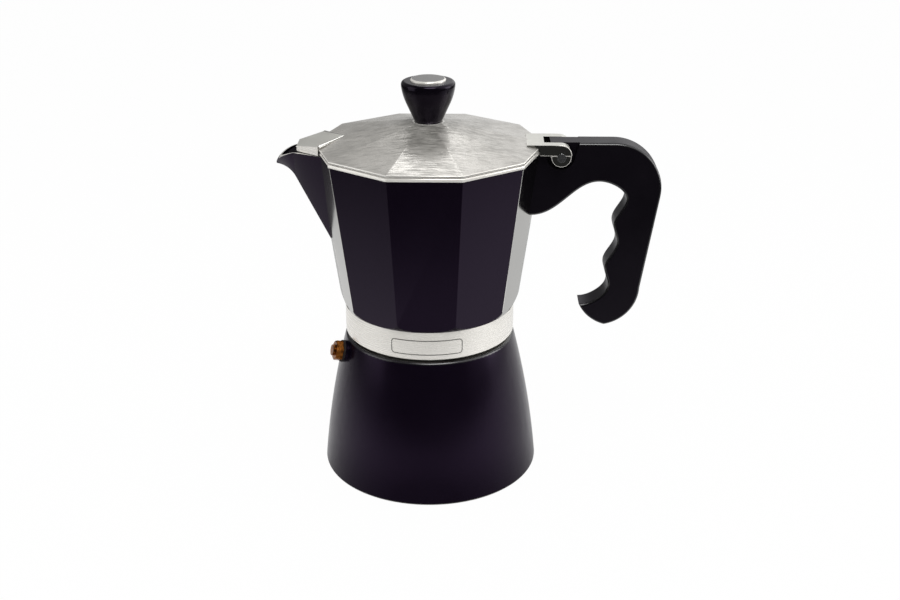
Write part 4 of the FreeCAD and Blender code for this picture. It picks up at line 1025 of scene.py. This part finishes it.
# Studio: white to the eye, and in reflections pale at the back and the sides, dark where the camera
# stands and half dark overhead.
def white_world():
    world = bpy.data.worlds.new("studio")
    bpy.context.scene.world = world
    world.use_nodes = True
    tree = world.node_tree
    tree.nodes.clear()
    rays, seen = eye_rays(tree)
    way = add(tree, "ShaderNodeSeparateXYZ", {0: add(tree, "ShaderNodeTexCoord").outputs["Generated"]})
    walls = add(tree, "ShaderNodeMapRange", {"Value": way.outputs["Y"]},
                {"From Min": DARK_BAND[0], "From Max": DARK_BAND[1],
                 "To Min": DARK_SIDE, "To Max": STUDIO_SHINE})
    across = add(tree, "ShaderNodeMapRange", {"Value": way.outputs["X"]},
                 {"From Min": SIDE_BAND[0], "From Max": SIDE_BAND[1],
                  "To Min": LEFT_SHARE, "To Max": RIGHT_SHARE})
    ceiling = add(tree, "ShaderNodeMapRange", {"Value": way.outputs["Z"]},
                  {"From Min": ZENITH_BAND[0], "From Max": ZENITH_BAND[1],
                   "To Min": 1.0, "To Max": ZENITH_SHARE})
    sides = add(tree, "ShaderNodeMath", {0: walls.outputs["Result"], 1: across.outputs["Result"]},
                operation="MULTIPLY")
    mirrored = add(tree, "ShaderNodeMath", {0: sides.outputs["Value"], 1: ceiling.outputs["Result"]},
                   operation="MULTIPLY")
    lit = add(tree, "ShaderNodeMix",
              {"Factor": rays["Is Glossy Ray"], SECOND_NUMBER: mirrored.outputs["Value"]},
              {FIRST_NUMBER: STUDIO_FILL})
    strength = add(tree, "ShaderNodeMix", {"Factor": seen, FIRST_NUMBER: lit.outputs[MIXED_NUMBER]},
                   {SECOND_NUMBER: 1.0})
    light = add(tree, "ShaderNodeBackground", {"Strength": strength.outputs[MIXED_NUMBER]},
                {"Color": linear("#ffffff")})
    add(tree, "ShaderNodeOutputWorld", {"Surface": light.outputs["Background"]})


def softbox(name, place, width, height, brightness):
    """Rectangular lamp of an even brightness that faces the middle of the pot."""
    data = bpy.data.lights.new(name, "AREA")
    data.shape = "RECTANGLE"
    data.size = width
    data.size_y = height
    data.energy = math.pi * width * height * brightness
    lamp = bpy.data.objects.new(name, data)
    bpy.context.scene.collection.objects.link(lamp)
    lamp.location = place
    aim = Vector((0, 0, (cad_low.z + cad_high.z) / 2)) - lamp.location
    lamp.rotation_euler = aim.to_track_quat("-Z", "Y").to_euler()


def photo_camera():
    """Camera at the place that the photograph was taken from."""
    data = bpy.data.cameras.new("photo")
    data.sensor_width = SENSOR
    data.lens = FOCAL_PIXELS * SENSOR / PHOTO_WIDTH
    data.clip_start = NEAR_CLIP
    camera = bpy.data.objects.new("photo", data)
    bpy.context.scene.collection.objects.link(camera)
    camera.location = CAMERA_PLACE
    camera.rotation_euler = CAMERA_TURN
    bpy.context.scene.camera = camera


paper_floor()
white_world()
for lamp_values in SOFTBOXES:
    softbox(*lamp_values)
photo_camera()
bpy.context.scene.view_settings.view_transform = "Standard"
